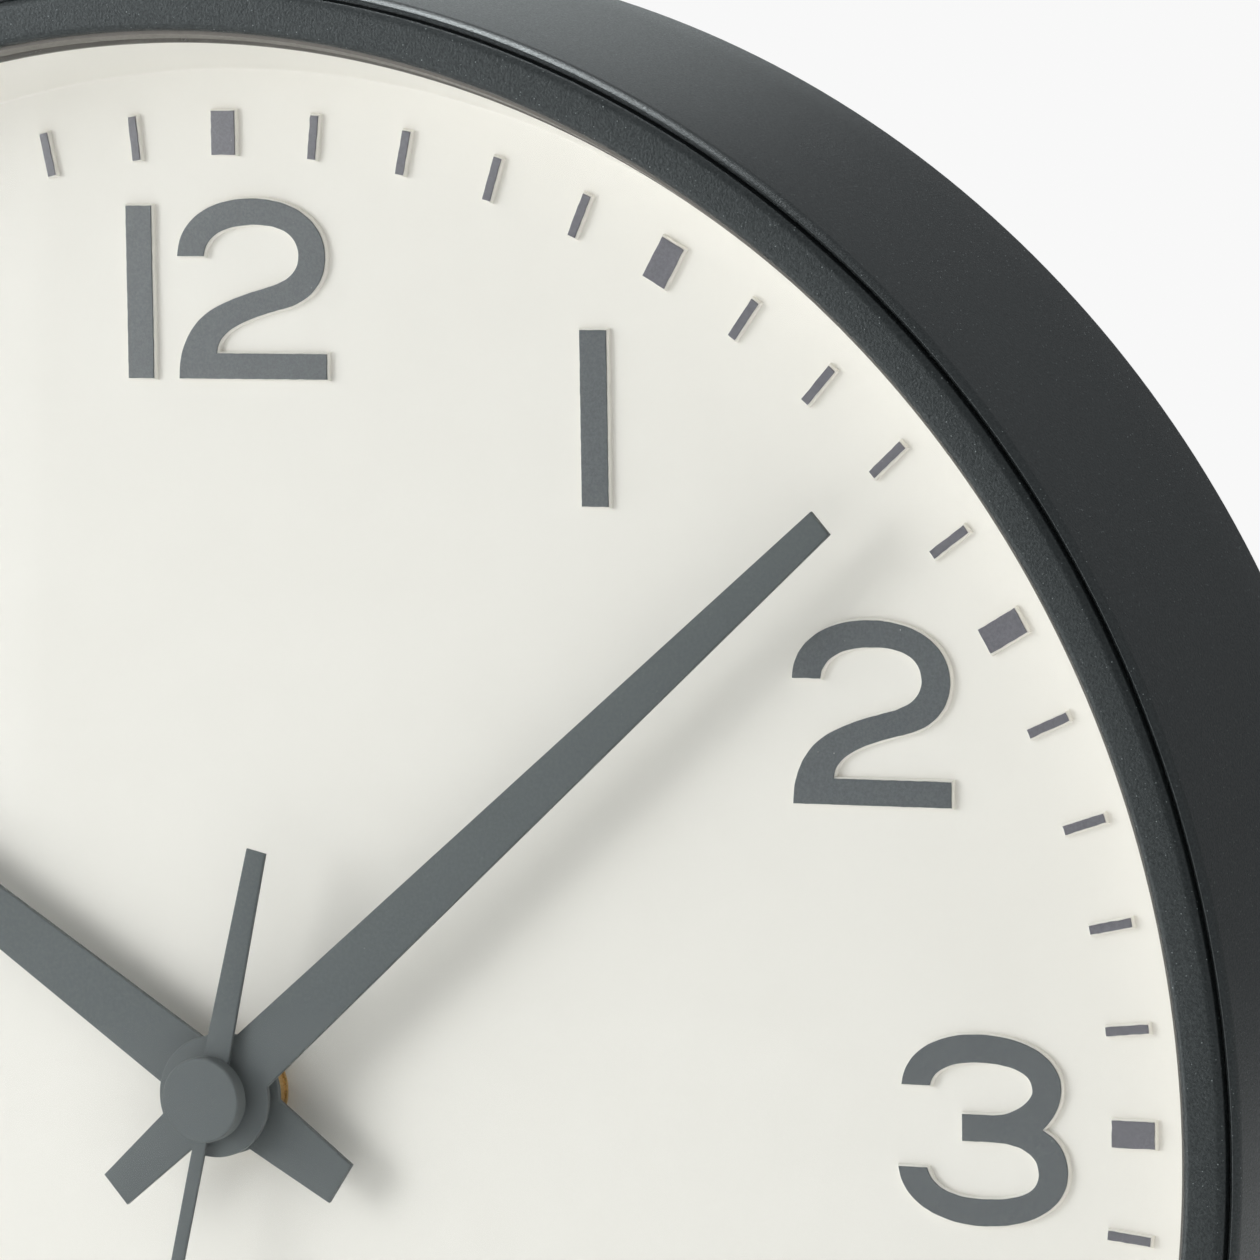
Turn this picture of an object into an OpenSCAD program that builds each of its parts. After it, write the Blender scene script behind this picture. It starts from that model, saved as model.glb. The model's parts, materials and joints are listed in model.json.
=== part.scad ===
/* [Case] */
// Largest diameter of the drum, at its back edge
case_d = 260; // [258:1:266]
// Distance from the wall to the front of the bezel
case_depth = 44.2; // [44:0.1:46]
// How much the drum narrows from back to front, on the radius
case_draft = 1.8; // [1:0.1:2.2]
// Thickness of the drum's wall
case_wall = 2.7; // [2.4:0.1:3]
// Width of the shadow gap between drum and bezel
bezel_gap = 0.5; // [0.4:0.1:0.8]
// Thickness of the bezel's front flange
bezel_t = 1.2; // [1:0.1:1.4]

/* [Lens] */
// Thickness of the clear lens
lens_t = 1.4; // [1.2:0.1:1.5]
// Height of the channel gasket from the dial rim to the bezel
gasket_h = 3.3; // [3.2:0.1:3.4]

/* [Dial] */
// Radius at which the flat dial turns up into its rim
dial_flat_r = 117.3; // [116:0.1:118]
// Thickness of the dial's moulding
dial_t = 1.6; // [1.4:0.1:1.8]
// Height of the raised figures and marks above the dial
relief_h = 0.8; // [0.6:0.1:1]
// Radius of the circle through the middle of the marks
mark_r = 110; // [108:0.5:111]
// Length of a mark
mark_l = 5; // [4:0.1:6]
// Width of an hour mark
hour_mark_w = 3; // [2.5:0.1:3.5]
// Width of a minute mark
minute_mark_w = 1; // [0.8:0.1:1.4]
// How far a raised block stands out round its print
print_margin = 0.15; // [0.1:0.05:0.3]

/* [Hands] */
// Minute hand from the shaft to its tip
minute_hand_l = 101.7; // [90:0.1:103]
// Hour hand from the shaft to its tip
hour_hand_l = 64; // [55:1:75]
// Second hand from the shaft to its tip
second_hand_l = 103; // [90:1:106]
// Tail of the minute and hour hands
hand_tail_l = 17.3; // [14:0.1:20]
// Tail of the second hand
second_tail_l = 29.4; // [24:0.1:34]
// Radius of the round hub of the minute and hour hands
hand_hub_r = 7; // [6:0.1:7.5]
// Radius of the cap over the second hand's hub
cap_r = 4.9; // [4.5:0.1:5.5]
// Resting angle of the hour hand, clockwise from twelve
hour_angle = 303.6; // [0:0.1:360]
// Resting angle of the minute hand, clockwise from twelve
minute_angle = 48.8; // [0:0.1:360]
// Resting angle of the second hand, clockwise from twelve
second_angle = 193.2; // [0:0.1:360]

/* [Movement] */
// Width and height of the movement's housing
movement_w = 56; // [56:1:57]
// Radius of the threaded bushing
bushing_r = 4; // [4:0.1:4.2]
// Radius of the battery cell
battery_r = 7.1; // [6.9:0.1:7.1]

/* [Hidden] */
$fn = 96;

// Every sub-part is drawn in the dial's own frame: x to three o'clock, y to twelve, z away from the wall
case_r = case_d / 2;
front_r = case_r - case_draft;
seat_r = front_r - 0.8;
rim_z = case_depth - 0.3;
flange_z = case_depth - bezel_t;
flange_in_r = 121.8;
dial_rim_z = flange_z - gasket_h;
dial_rim_t = 1.2;
dial_rim_r = 120.4;
ledge_z = dial_rim_z - dial_rim_t;
ledge_t = 1.6;
ledge_r = 122.6;
print_z = 28;
print_t = 0.15;
dial_z = print_z - relief_h;
dial_back_z = dial_z - dial_t;
lens_z = dial_rim_z + 0.3;
lens_r = 122.6;
edge_r = 1.4;

// Dial figures
cap_h = 19.8;
bar_w = 3.3;
digit_gap = 3.3;
bar_gap = 4.6;
curve_steps = 8;

// Hands, from the dial outwards
hour_hand_z = 31.4;
minute_hand_z = 34.1;
second_hand_z = 35.6;
hand_t = 0.7;
second_hand_t = 0.5;
hour_bush_z = 30;
minute_bush_z = 32.6;
cap_front_z = 38.1;

// Pipes and arbors that share the hand axis
fit_gap = 0.08;
arbor_r = 0.5;
minute_pipe_r = 1.5;
hour_pipe_r = 2.5;
tube_r = 1.1;
bushing_end_z = 29.6;
nut_z = 27.6;
nut_t = 1.7;
nut_r = 5.55;
nut_slot_w = 1;
washer_r = 5.8;
cushion_r = 10;
hour_pipe_end_z = 31.9;
minute_pipe_end_z = 34.6;
second_arbor_end_z = 37.4;

// Movement housing
housing_l = -movement_w / 2;
housing_r = movement_w / 2;
housing_bottom = -31;
housing_top = housing_bottom + movement_w;
housing_back_z = 8;
housing_split_z = 16;
housing_front_z = 23.9;
housing_wall = 1.5;
floor_z = 9.4;
front_floor_z = housing_front_z - housing_wall;
bay_wall_y = -14.2;
strip_y = -12.5;
battery_y = -22;
battery_z = 15.2;
housing_screw_inset = 4.4;
post_r = 2.2;

// Coil of the stepping motor, along y
coil_x = -23.2;
coil_bottom = 2.4;
coil_top = 15;
coil_flange_t = 0.8;
coil_tube_r = 1.6;
coil_r = 2.9;
rotor_hole_r = 3.5;
core_z = 12.4;

// Gear train: tooth counts and modules
rotor_teeth = 10;
intermediate_teeth = 50;
drive_pinion_teeth = 10;
second_teeth = 60;
drive_module = 0.3;
second_pinion_teeth = 8;
third_teeth = 60;
third_module = 0.36;
third_pinion_teeth = 8;
centre_teeth = 64;
centre_module = 0.34;
cannon_teeth = 12;
minute_teeth = 36;
minute_module = 0.5;
minute_pinion_teeth = 10;
hour_teeth = 40;
hour_module = 0.48;

// Shafts, by the angle of the line from the wheel that each one meshes with
third_angle = 120;
intermediate_angle = 200;
rotor_angle = 180;
motion_angle = 20;
knob_angle = -35;
third_pos = polar(third_module * (second_pinion_teeth + third_teeth) / 2, third_angle);
intermediate_pos = polar(drive_module * (second_teeth + drive_pinion_teeth) / 2, intermediate_angle);
rotor_pos = intermediate_pos + polar(drive_module * (intermediate_teeth + rotor_teeth) / 2, rotor_angle);
motion_pos = polar(minute_module * (cannon_teeth + minute_teeth) / 2, motion_angle);
knob_pos = motion_pos + polar(minute_module * (cannon_teeth + minute_teeth) / 2, knob_angle);

// Height of each level of the train
drive_z = 11;
second_z = 12.6;
third_z = 14.4;
middle_z = 15.6;
middle_t = 0.7;
centre_z = 16.8;
minute_z = 18.4;
hour_z = 19.9;
wheel_t = 0.8;
motion_t = 0.9;
pinion_over = 0.2;
pivot_z = 9.5;

// Setting knob, behind the housing
knob_z = 4.6;
knob_h = 2.4;
knob_r = 5.2;
knob_ribs = 18;

// Resting turn of each gear, so that every pair is in mesh
second_turn = 0;
second_pinion_turn = 0;
drive_pinion_turn = mesh_turn(intermediate_angle, second_turn, second_teeth, drive_pinion_teeth);
intermediate_turn = 0;
rotor_turn = mesh_turn(rotor_angle, intermediate_turn, intermediate_teeth, rotor_teeth);
third_turn = mesh_turn(third_angle, second_pinion_turn, second_pinion_teeth, third_teeth);
third_pinion_turn = 0;
centre_turn = mesh_turn(third_angle + 180, third_pinion_turn, third_pinion_teeth, centre_teeth);
cannon_turn = 0;
minute_turn = mesh_turn(motion_angle, cannon_turn, cannon_teeth, minute_teeth);
minute_pinion_turn = 0;
hour_turn = mesh_turn(motion_angle + 180, minute_pinion_turn, minute_pinion_teeth, hour_teeth);
setting_turn = mesh_turn(knob_angle, minute_turn, minute_teeth, cannon_teeth);

// Back of the clock
cover_z = 3;
cover_t = 2;
cover_r = case_r - case_wall - 0.9;
window = [60, 60];
window_y = -3;
boss_circle_r = 123.5;
boss_r = 3;
boss_count = 6;
boss_z = cover_z + cover_t;
boss_top_z = 30;
screw_r = 1.25;
hanger_y = 80;
hanger_hole_r = 4.5;
hanger_slot_r = 2.3;
hanger_rise = 8;
hanger_t = 1.2;
hanger_screw_x = 17;
hanger_screw_y = hanger_y + 4;
pad_pos = [100, -55];
pad_r = 6;

// Colours
charcoal = "#45494a";
cream = "#e9e7df";
print_grey = "#5f6465";
hand_grey = "#666b6b";
brass = "#b58a45";
steel = "#a9adb0";
movement_grey = "#2b2d2f";
wheel_white = "#e6e4dc";

function polar(r, a) = [r * cos(a), r * sin(a)];
function mesh_turn(line, turn_a, teeth_a, teeth_b) =
    line + 180 + 180 / teeth_b - (turn_a - line) * teeth_a / teeth_b;

// A cubic curve from a to d, without its last point
function curve(a, b, c, d) = [
    for (i = [0 : curve_steps - 1])
        let (t = i / curve_steps, s = 1 - t)
        s * s * s * a + 3 * s * s * t * b + 3 * s * t * t * c + t * t * t * d
];

// A closed loop of four cubic quarters through the left, top, right and bottom points
function loop(l, t, r, b, k = 0.6) = concat(
    curve([l.x, l.y], [l.x, l.y + k * (t.y - l.y)], [t.x - k * (t.x - l.x), t.y], t),
    curve(t, [t.x + k * (r.x - t.x), t.y], [r.x, r.y + k * (t.y - r.y)], r),
    curve(r, [r.x, r.y - k * (r.y - b.y)], [b.x + k * (r.x - b.x), b.y], b),
    curve(b, [b.x - k * (b.x - l.x), b.y], [l.x, l.y - k * (l.y - b.y)], l)
);

function twice_area(p) = [
    for (i = [0 : len(p) - 1])
        let (a = p[i], b = p[(i + 1) % len(p)])
        a.x * b.y - b.x * a.y
] * [for (i = p) 1];
function unit(v) = v / norm(v);

// Moves every side of an outline outwards by d, or inwards where d is negative
function grow(p, d) = let (n = len(p), way = sign(twice_area(p)))
    [for (i = [0 : n - 1])
        let (
            u = unit(p[i] - p[(i + n - 1) % n]),
            v = unit(p[(i + 1) % n] - p[i]),
            m = [u.y + v.y, -u.x - v.x]
        )
        p[i] + m * way * d / (1 + u * v)];

function one_outline() = [[0, 0], [bar_w, 0], [bar_w, cap_h], [0, cap_h]];
function two_outline() = concat(
    [[0, 0], [19, 0], [19, 2.9]],
    curve([4.9, 2.9], [5, 5.6], [8.8, 6.9], [14, 8.15]),
    curve([14, 8.15], [17.4, 9.1], [19, 11.3], [19, 14]),
    curve([19, 14], [19, 18], [15, 20.6], [9.6, 20.6]),
    curve([9.6, 20.6], [4.2, 20.6], [0.2, 18.2], [0, 14]),
    [[0, 14]],
    curve([3.4, 14], [3.7, 16.4], [6.2, 17.6], [10, 17.6]),
    curve([10, 17.6], [13.6, 17.6], [15.6, 16.4], [15.6, 14]),
    curve([15.6, 14], [15.6, 11.8], [13.4, 10.9], [11, 10.3]),
    curve([11, 10.3], [8.2, 9.6], [5.9, 8.8], [4, 7.7]),
    curve([4, 7.7], [1.4, 6.1], [0.1, 3.4], [0, 0.4])
);
function three_outline() = concat(
    curve([0.5, 15.4], [0.8, 19], [4.6, 21.3], [9.8, 21.3]),
    curve([9.8, 21.3], [15.6, 21.3], [19.5, 19], [19.5, 15.6]),
    curve([19.5, 15.6], [19.5, 13.8], [18.5, 12.2], [17.2, 11]),
    curve([17.2, 11], [18.9, 10.3], [20.2, 8.6], [20.2, 6.4]),
    curve([20.2, 6.4], [20.2, 2.4], [15.8, 0], [10, 0]),
    curve([10, 0], [4.4, 0], [0.3, 2.6], [0, 6.2]),
    [[0, 6.2]],
    curve([3.45, 6.2], [4, 3.9], [6.6, 3], [10, 3]),
    curve([10, 3], [14.4, 3], [16.75, 4], [16.75, 6.1]),
    curve([16.75, 6.1], [16.75, 8.3], [14.6, 9.4], [11.3, 9.4]),
    [[11.3, 9.4], [7.7, 9.4], [7.7, 12.4]],
    curve([11.3, 12.4], [13.6, 12.4], [16.1, 14], [16.1, 15.4]),
    curve([16.1, 15.4], [16.1, 17.4], [13.4, 18.2], [9.8, 18.2]),
    curve([9.8, 18.2], [6.6, 18.2], [4.2, 17.2], [3.9, 15.4]),
    [[3.9, 15.4]]
);
function four_outline() = [
    [12.5, 0], [15.9, 0], [15.9, 4.5], [19.8, 4.5], [19.8, 7.4], [15.9, 7.4],
    [15.9, cap_h], [12.4, cap_h], [0, 7.9], [0, 4.5], [12.5, 4.5]
];
function four_counter() = [[12.5, 7.4], [12.5, 15.6], [3.9, 7.4]];
function five_outline() = concat(
    [[1.3, 9.3], [2.3, cap_h], [18.2, cap_h], [18.2, 16.9], [5.3, 16.9]],
    curve([4.9, 12.4], [6.3, 13.4], [8.3, 13.9], [10.6, 13.9]),
    curve([10.6, 13.9], [15.8, 13.9], [19.6, 11.3], [19.6, 6.9]),
    curve([19.6, 6.9], [19.6, 2.2], [15.6, -0.4], [9.8, -0.4]),
    curve([9.8, -0.4], [4.3, -0.4], [0.3, 1.9], [0, 5.6]),
    [[0, 5.6]],
    curve([3.45, 5.6], [3.9, 3.4], [6.4, 2.6], [9.8, 2.6]),
    curve([9.8, 2.6], [13.8, 2.6], [16.2, 3.9], [16.2, 6.8]),
    curve([16.2, 6.8], [16.2, 9.7], [13.8, 11], [10.2, 11]),
    curve([10.2, 11], [7.8, 11], [5.8, 10.3], [4.7, 9.3]),
    [[4.7, 9.3]]
);
function six_outline() = concat(
    curve([19, 15.1], [18.6, 18.8], [15.2, 20.9], [10.2, 20.9]),
    curve([10.2, 20.9], [3.4, 20.9], [0, 16.8], [0, 10.2]),
    curve([0, 10.2], [0, 3.6], [3.8, -0.3], [9.9, -0.3]),
    curve([9.9, -0.3], [15.8, -0.3], [19.6, 2.2], [19.6, 6.7]),
    curve([19.6, 6.7], [19.6, 11], [15.6, 13.3], [10.6, 13.3]),
    curve([10.6, 13.3], [7.6, 13.3], [4.9, 12.5], [3.5, 11]),
    curve([3.5, 11], [3.8, 15.8], [6.2, 17.9], [10.2, 17.9]),
    curve([10.2, 17.9], [13.4, 17.9], [15.2, 17], [15.6, 15.1]),
    [[15.6, 15.1]]
);
function six_counter() = loop([3.7, 6.6], [9.9, 10.4], [16.2, 6.6], [9.9, 2.6]);
function seven_outline() = concat(
    [[0.6, cap_h], [0.6, 16.8]],
    curve([15, 16.8], [9.8, 12.4], [6, 6.2], [5.5, 0]),
    [[5.5, 0]],
    curve([9.2, 0], [10, 6.6], [13.2, 12.2], [19, 17.1]),
    [[19, 17.1], [19, cap_h]]
);
function eight_outline() = concat(
    curve([0.9, 15.3], [0.9, 19], [4.6, 20.9], [10.1, 20.9]),
    curve([10.1, 20.9], [15.6, 20.9], [19.3, 19], [19.3, 15.3]),
    curve([19.3, 15.3], [19.3, 13.4], [18.3, 11.9], [16.9, 10.9]),
    curve([16.9, 10.9], [18.8, 9.8], [20.2, 8.2], [20.2, 5.9]),
    curve([20.2, 5.9], [20.2, 2.1], [16.2, -0.3], [10.1, -0.3]),
    curve([10.1, -0.3], [4, -0.3], [0, 2.1], [0, 5.9]),
    curve([0, 5.9], [0, 8.2], [1.4, 9.8], [3.3, 10.9]),
    curve([3.3, 10.9], [1.9, 11.9], [0.9, 13.4], [0.9, 15.3])
);
function eight_top() = loop([4.3, 15.3], [10.1, 18], [15.9, 15.3], [10.1, 12.5]);
function eight_bottom() = loop([3.4, 6.1], [10.1, 9.6], [16.8, 6.1], [10.1, 2.6]);
function zero_outline() = loop([0, 10.3], [10, 20.9], [20, 10.3], [10, -0.3], 0.64);
function zero_counter() = loop([3.5, 10.3], [10, 18], [16.5, 10.3], [10, 2.6], 0.66);
function half_turned(p) = [for (q = p) [19.6 - q.x, 20.6 - q.y]];

// Outlines of a digit, the body first and then its counters
function digit(n) =
    n == 0 ? [zero_outline(), zero_counter()] :
    n == 1 ? [one_outline()] :
    n == 2 ? [two_outline()] :
    n == 3 ? [three_outline()] :
    n == 4 ? [four_outline(), four_counter()] :
    n == 5 ? [five_outline()] :
    n == 6 ? [six_outline(), six_counter()] :
    n == 7 ? [seven_outline()] :
    n == 8 ? [eight_outline(), eight_top(), eight_bottom()] :
    [half_turned(six_outline()), half_turned(six_counter())];
function digit_w(n) =
    n == 1 ? bar_w : n == 0 ? 20 : n == 2 ? 19 : n == 3 || n == 8 ? 20.2 : n == 4 ? 19.8 : 19.6;

// Figures sit a little nearer the middle beside six and twelve, and the wide ten clears its mark
function numeral_r(hour) =
    hour == 10 ? 86 :
    hour % 6 == 0 ? 91.8 :
    hour % 3 == 0 ? 92.2 :
    hour % 6 == 1 || hour % 6 == 5 ? 90.5 : 91.4;
// The upper figures sit level in pairs, slightly below their marks
function numeral_angle(hour) =
    hour == 1 ? 30.7 : hour == 2 ? 60.4 : hour == 3 ? 90.7 : hour == 5 ? 149.3 :
    hour == 7 ? 210.7 : hour == 9 ? 269.3 : hour == 10 ? 301.6 : hour == 11 ? 329.3 : 30 * hour;
function clockwise(r, a) = [r * sin(a), r * cos(a)];

// ---- shared shapes ----

module stand() {
    rotate([90, 0, 0]) children();
}

module at(pos, z = 0) {
    translate([pos.x, pos.y, z]) children();
}

// A solid of revolution from a profile of [radius, height] points
module turned(profile, sides = 180) {
    rotate_extrude($fn = sides) polygon(profile);
}

function arc(c, r, from, to, steps = 6) = [
    for (i = [0 : steps])
        let (a = from + (to - from) * i / steps)
        [c.x + r * cos(a), c.y + r * sin(a)]
];

module ring(outer, inner, h) {
    difference() {
        cylinder(r = outer, h = h);
        translate([0, 0, -1]) cylinder(r = inner, h = h + 2);
    }
}

module rounded_rect(lo, hi, r) {
    translate([lo.x + r, lo.y]) square([hi.x - lo.x - 2 * r, hi.y - lo.y]);
    translate([lo.x, lo.y + r]) square([hi.x - lo.x, hi.y - lo.y - 2 * r]);
    for (x = [lo.x + r, hi.x - r], y = [lo.y + r, hi.y - r]) {
        translate([x, y]) circle(r = r, $fn = 32);
    }
}

module slab(lo, hi, z, h, r) {
    translate([0, 0, z]) linear_extrude(h) rounded_rect(lo, hi, r);
}

module box(lo, hi) {
    translate(lo) cube(hi - lo);
}

// A gear with straight-sided teeth and wide backlash, and a tooth pointing along turn
module gear(teeth, m, h, turn) {
    pitch_r = teeth * m / 2;
    root_r = pitch_r - 1.1 * m;
    tip_r = pitch_r + 0.8 * m;
    step = 360 / teeth;
    linear_extrude(h) polygon([
        for (i = [0 : teeth - 1], side = [[root_r, -0.27], [tip_r, -0.09], [tip_r, 0.09], [root_r, 0.27]])
            polar(side[0], turn + (i + side[1]) * step)
    ]);
}

module pan_screw(head_z, head_r, head_h, shank_r, shank_l) {
    translate([0, 0, head_z - head_h]) cylinder(r1 = head_r * 0.8, r2 = head_r, h = head_h, $fn = 32);
    translate([0, 0, head_z - 0.1]) cylinder(r = shank_r, h = shank_l + 0.1, $fn = 24);
}

// ---- dial figures and marks ----

module figure_outline(n, margin) {
    outlines = digit(n);
    difference() {
        polygon(grow(outlines[0], margin));
        for (i = [1 : 1 : len(outlines) - 1]) {
            polygon(grow(outlines[i], -margin));
        }
    }
}

module numeral(hour, z, h, margin) {
    tens = floor(hour / 10);
    units = hour % 10;
    gap = hour == 11 ? bar_gap : digit_gap;
    lead = tens == 1 ? digit_w(1) + gap : 0;
    width = lead + digit_w(units);
    at(clockwise(numeral_r(hour), numeral_angle(hour)) - [width / 2, cap_h / 2], z) {
        if (tens == 1) {
            linear_extrude(h) figure_outline(1, margin);
        }
        translate([lead, 0, 0]) linear_extrude(h) figure_outline(units, margin);
    }
}

module numerals(z, h, margin) {
    for (hour = [1 : 12]) {
        numeral(hour, z, h, margin);
    }
}

module marks(z, h, margin) {
    for (i = [0 : 59]) {
        w = (i % 5 == 0 ? hour_mark_w : minute_mark_w) + 2 * margin;
        l = mark_l + 2 * margin;
        rotate([0, 0, -6 * i]) translate([-w / 2, mark_r - l / 2, z]) cube([w, l, h]);
    }
}

// ---- case, lens and dial ----

module case() {
    slope = case_draft / (rim_z - edge_r);
    chamfer_z = ledge_z - ledge_t - 2.2;
    color(charcoal) stand() difference() {
        union() {
            turned(concat(
                [[case_r - case_wall, 0]],
                arc([case_r - edge_r, edge_r], edge_r, -90, 0),
                arc([front_r - 0.4, rim_z - 0.4], 0.4, 0, 90, 4),
                [
                    [seat_r + 0.15, rim_z], [seat_r, rim_z - 0.15], [seat_r, ledge_z], [ledge_r, ledge_z],
                    [ledge_r, ledge_z - ledge_t],
                    [case_r - case_wall - slope * chamfer_z, chamfer_z]
                ]
            ));
            for (i = [0 : boss_count - 1]) {
                rotate([0, 0, 30 + i * 360 / boss_count]) {
                    at([boss_circle_r, 0], boss_z) cylinder(r = boss_r, h = boss_top_z - boss_z, $fn = 48);
                    box([boss_circle_r, -1.2, boss_z], [case_r - case_wall + 0.2, 1.2, boss_top_z + 2]);
                }
            }
        }
        for (i = [0 : boss_count - 1]) {
            rotate([0, 0, 30 + i * 360 / boss_count])
                at([boss_circle_r, 0], boss_z - 1) cylinder(r = screw_r + 0.05, h = 14, $fn = 24);
        }
    }
}

module bezel() {
    skirt_r = seat_r - bezel_gap;
    color(charcoal) stand() {
        turned(concat(
            [[skirt_r - 1.5, dial_rim_z], [skirt_r, dial_rim_z]],
            arc([skirt_r - 0.9, case_depth - 0.9], 0.9, 0, 90, 6),
            arc([flange_in_r + 0.9, case_depth - 0.9], 0.9, 90, 180, 6),
            [[flange_in_r, flange_z], [skirt_r - 1.5, flange_z]]
        ));
        for (i = [0 : 11]) {
            rotate([0, 0, 15 + 30 * i])
                box([skirt_r - 1, -1.5, dial_rim_z], [seat_r - 0.03, 1.5, dial_rim_z + 2]);
        }
    }
}

module lens() {
    color("#dfe8ea", 0.25) stand() at([0, 0], lens_z) cylinder(r = lens_r, h = lens_t, $fn = 180);
}

module lens_gasket() {
    slope = (flange_in_r - dial_rim_r) / (gasket_h + bezel_t);
    outer = seat_r - bezel_gap - 1.5;
    lens_top_z = lens_z + lens_t;
    color("#6f6a62") stand() turned([
        [dial_rim_r, dial_rim_z], [outer, dial_rim_z], [outer, flange_z],
        [dial_rim_r + slope * (flange_z - dial_rim_z), flange_z],
        [dial_rim_r + slope * (lens_top_z - dial_rim_z), lens_top_z],
        [lens_r + 0.1, lens_top_z], [lens_r + 0.1, lens_z],
        [dial_rim_r + slope * (lens_z - dial_rim_z), lens_z]
    ]);
}

module dial() {
    color(cream) stand() difference() {
        union() {
            turned([
                [0, dial_back_z], [dial_flat_r + 1.5, dial_back_z], [dial_rim_r + 1.5, ledge_z],
                [seat_r - 0.1, ledge_z], [seat_r - 0.1, dial_rim_z], [dial_rim_r, dial_rim_z],
                [dial_flat_r, dial_z], [0, dial_z]
            ]);
            numerals(dial_z - 0.4, relief_h - print_t + 0.4, print_margin);
            marks(dial_z - 0.4, relief_h - print_t + 0.4, print_margin);
        }
        at([0, 0], dial_back_z - 1) cylinder(r = bushing_r + 0.1, h = 4);
    }
}

module numeral_print() {
    color(print_grey) stand() numerals(print_z - print_t, print_t, 0);
}

module minute_mark_print() {
    color(print_grey) stand() marks(print_z - print_t, print_t, 0);
}

// ---- hands ----

// A flat hand along +y: widths at the tip, at each side of the hub and at the tail's end
module hand_plate(length, tail, tip_w, root_w, tail_root_w, tail_w, hub_r, t) {
    linear_extrude(t) {
        polygon([
            [-tip_w / 2, length], [-root_w / 2, 0], [-tail_root_w / 2, 0], [-tail_w / 2, -tail],
            [tail_w / 2, -tail], [tail_root_w / 2, 0], [root_w / 2, 0], [tip_w / 2, length]
        ]);
        circle(r = hub_r);
    }
}

module hour_hand() {
    color(hand_grey) stand() at([0, 0], hour_hand_z) rotate([0, 0, -hour_angle]) difference() {
        hand_plate(hour_hand_l, hand_tail_l + 0.3, 4.9, 7.9, 7.9, 5.4, hand_hub_r, hand_t);
        at([0, 0], -1) cylinder(r = hour_pipe_r + 0.02, h = 3, $fn = 48);
    }
}

module hour_hand_bush() {
    color(brass) stand() at([0, 0], hour_bush_z)
        ring(3.6, hour_pipe_r, hour_hand_z - hour_bush_z, $fn = 48);
}

module minute_hand() {
    color(hand_grey) stand() at([0, 0], minute_hand_z) rotate([0, 0, -minute_angle]) difference() {
        hand_plate(minute_hand_l, hand_tail_l, 3.35, 7.1, 5.9, 4.45, hand_hub_r, hand_t);
        at([0, 0], -1) cylinder(r = minute_pipe_r + 0.02, h = 3, $fn = 48);
    }
}

module minute_hand_bush() {
    color(brass) stand() at([0, 0], minute_bush_z)
        ring(2.9, minute_pipe_r, minute_hand_z - minute_bush_z, $fn = 48);
}

module second_hand() {
    color(hand_grey) stand() at([0, 0], second_hand_z) rotate([0, 0, -second_angle]) difference() {
        hand_plate(second_hand_l, second_tail_l, 1.1, 1.7, 3.4, 2.45, cap_r - 0.5, second_hand_t);
        at([0, 0], -1) cylinder(r = tube_r, h = 3, $fn = 48);
    }
}

module second_hand_tube() {
    color(brass) stand() at([0, 0], second_hand_z - 0.6) ring(tube_r, arbor_r, 2.6, $fn = 48);
}

module second_hand_cap() {
    base_z = second_hand_z + second_hand_t;
    color(hand_grey) stand() turned(concat(
        [[tube_r, base_z], [cap_r, base_z]],
        arc([cap_r - 0.3, cap_front_z - 0.3], 0.3, 0, 90, 4),
        [[0, cap_front_z], [0, cap_front_z - 0.4], [tube_r, cap_front_z - 0.4]]
    ), 72);
}

// ---- what clamps the movement to the dial ----

module threaded_bushing() {
    color(brass) stand() difference() {
        union() {
            at([0, 0], front_floor_z - 0.8) cylinder(r = 6, h = 0.8);
            at([0, 0], front_floor_z - 0.1)
                cylinder(r = bushing_r, h = bushing_end_z - front_floor_z + 0.1);
        }
        at([0, 0], front_floor_z - 2) cylinder(r = hour_pipe_r + fit_gap, h = 12);
    }
}

module fixing_nut() {
    color(brass) stand() difference() {
        turned(concat(
            [[0, nut_z], [nut_r, nut_z]],
            arc([nut_r - 0.5, nut_z + nut_t - 0.5], 0.5, 0, 90, 4),
            [[0, nut_z + nut_t]]
        ), 72);
        at([0, 0], nut_z - 1) cylinder(r = bushing_r + 0.02, h = nut_t + 2);
        for (a = [0, 90]) {
            rotate([0, 0, a]) box([-nut_r - 1, -nut_slot_w / 2, nut_z + nut_t - 0.6],
                [nut_r + 1, nut_slot_w / 2, nut_z + nut_t + 1]);
        }
    }
}

module dial_washer() {
    color(brass) stand() at([0, 0], dial_z) ring(washer_r, bushing_r + 0.1, nut_z - dial_z);
}

module cushion_washer() {
    color("#262626") stand() at([0, 0], housing_front_z)
        ring(cushion_r, bushing_r + 0.2, dial_back_z - housing_front_z);
}

// ---- movement housing ----

function housing_lo(d) = [housing_l + d, housing_bottom + d];
function housing_hi(d) = [housing_r - d, housing_top - d];
function housing_screw_spots() = [
    for (x = [-1, 1], y = [0, 1])
        [x * (housing_r - housing_screw_inset),
         y == 1 ? housing_top - housing_screw_inset : bay_wall_y + housing_screw_inset + 0.8]
];

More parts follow.
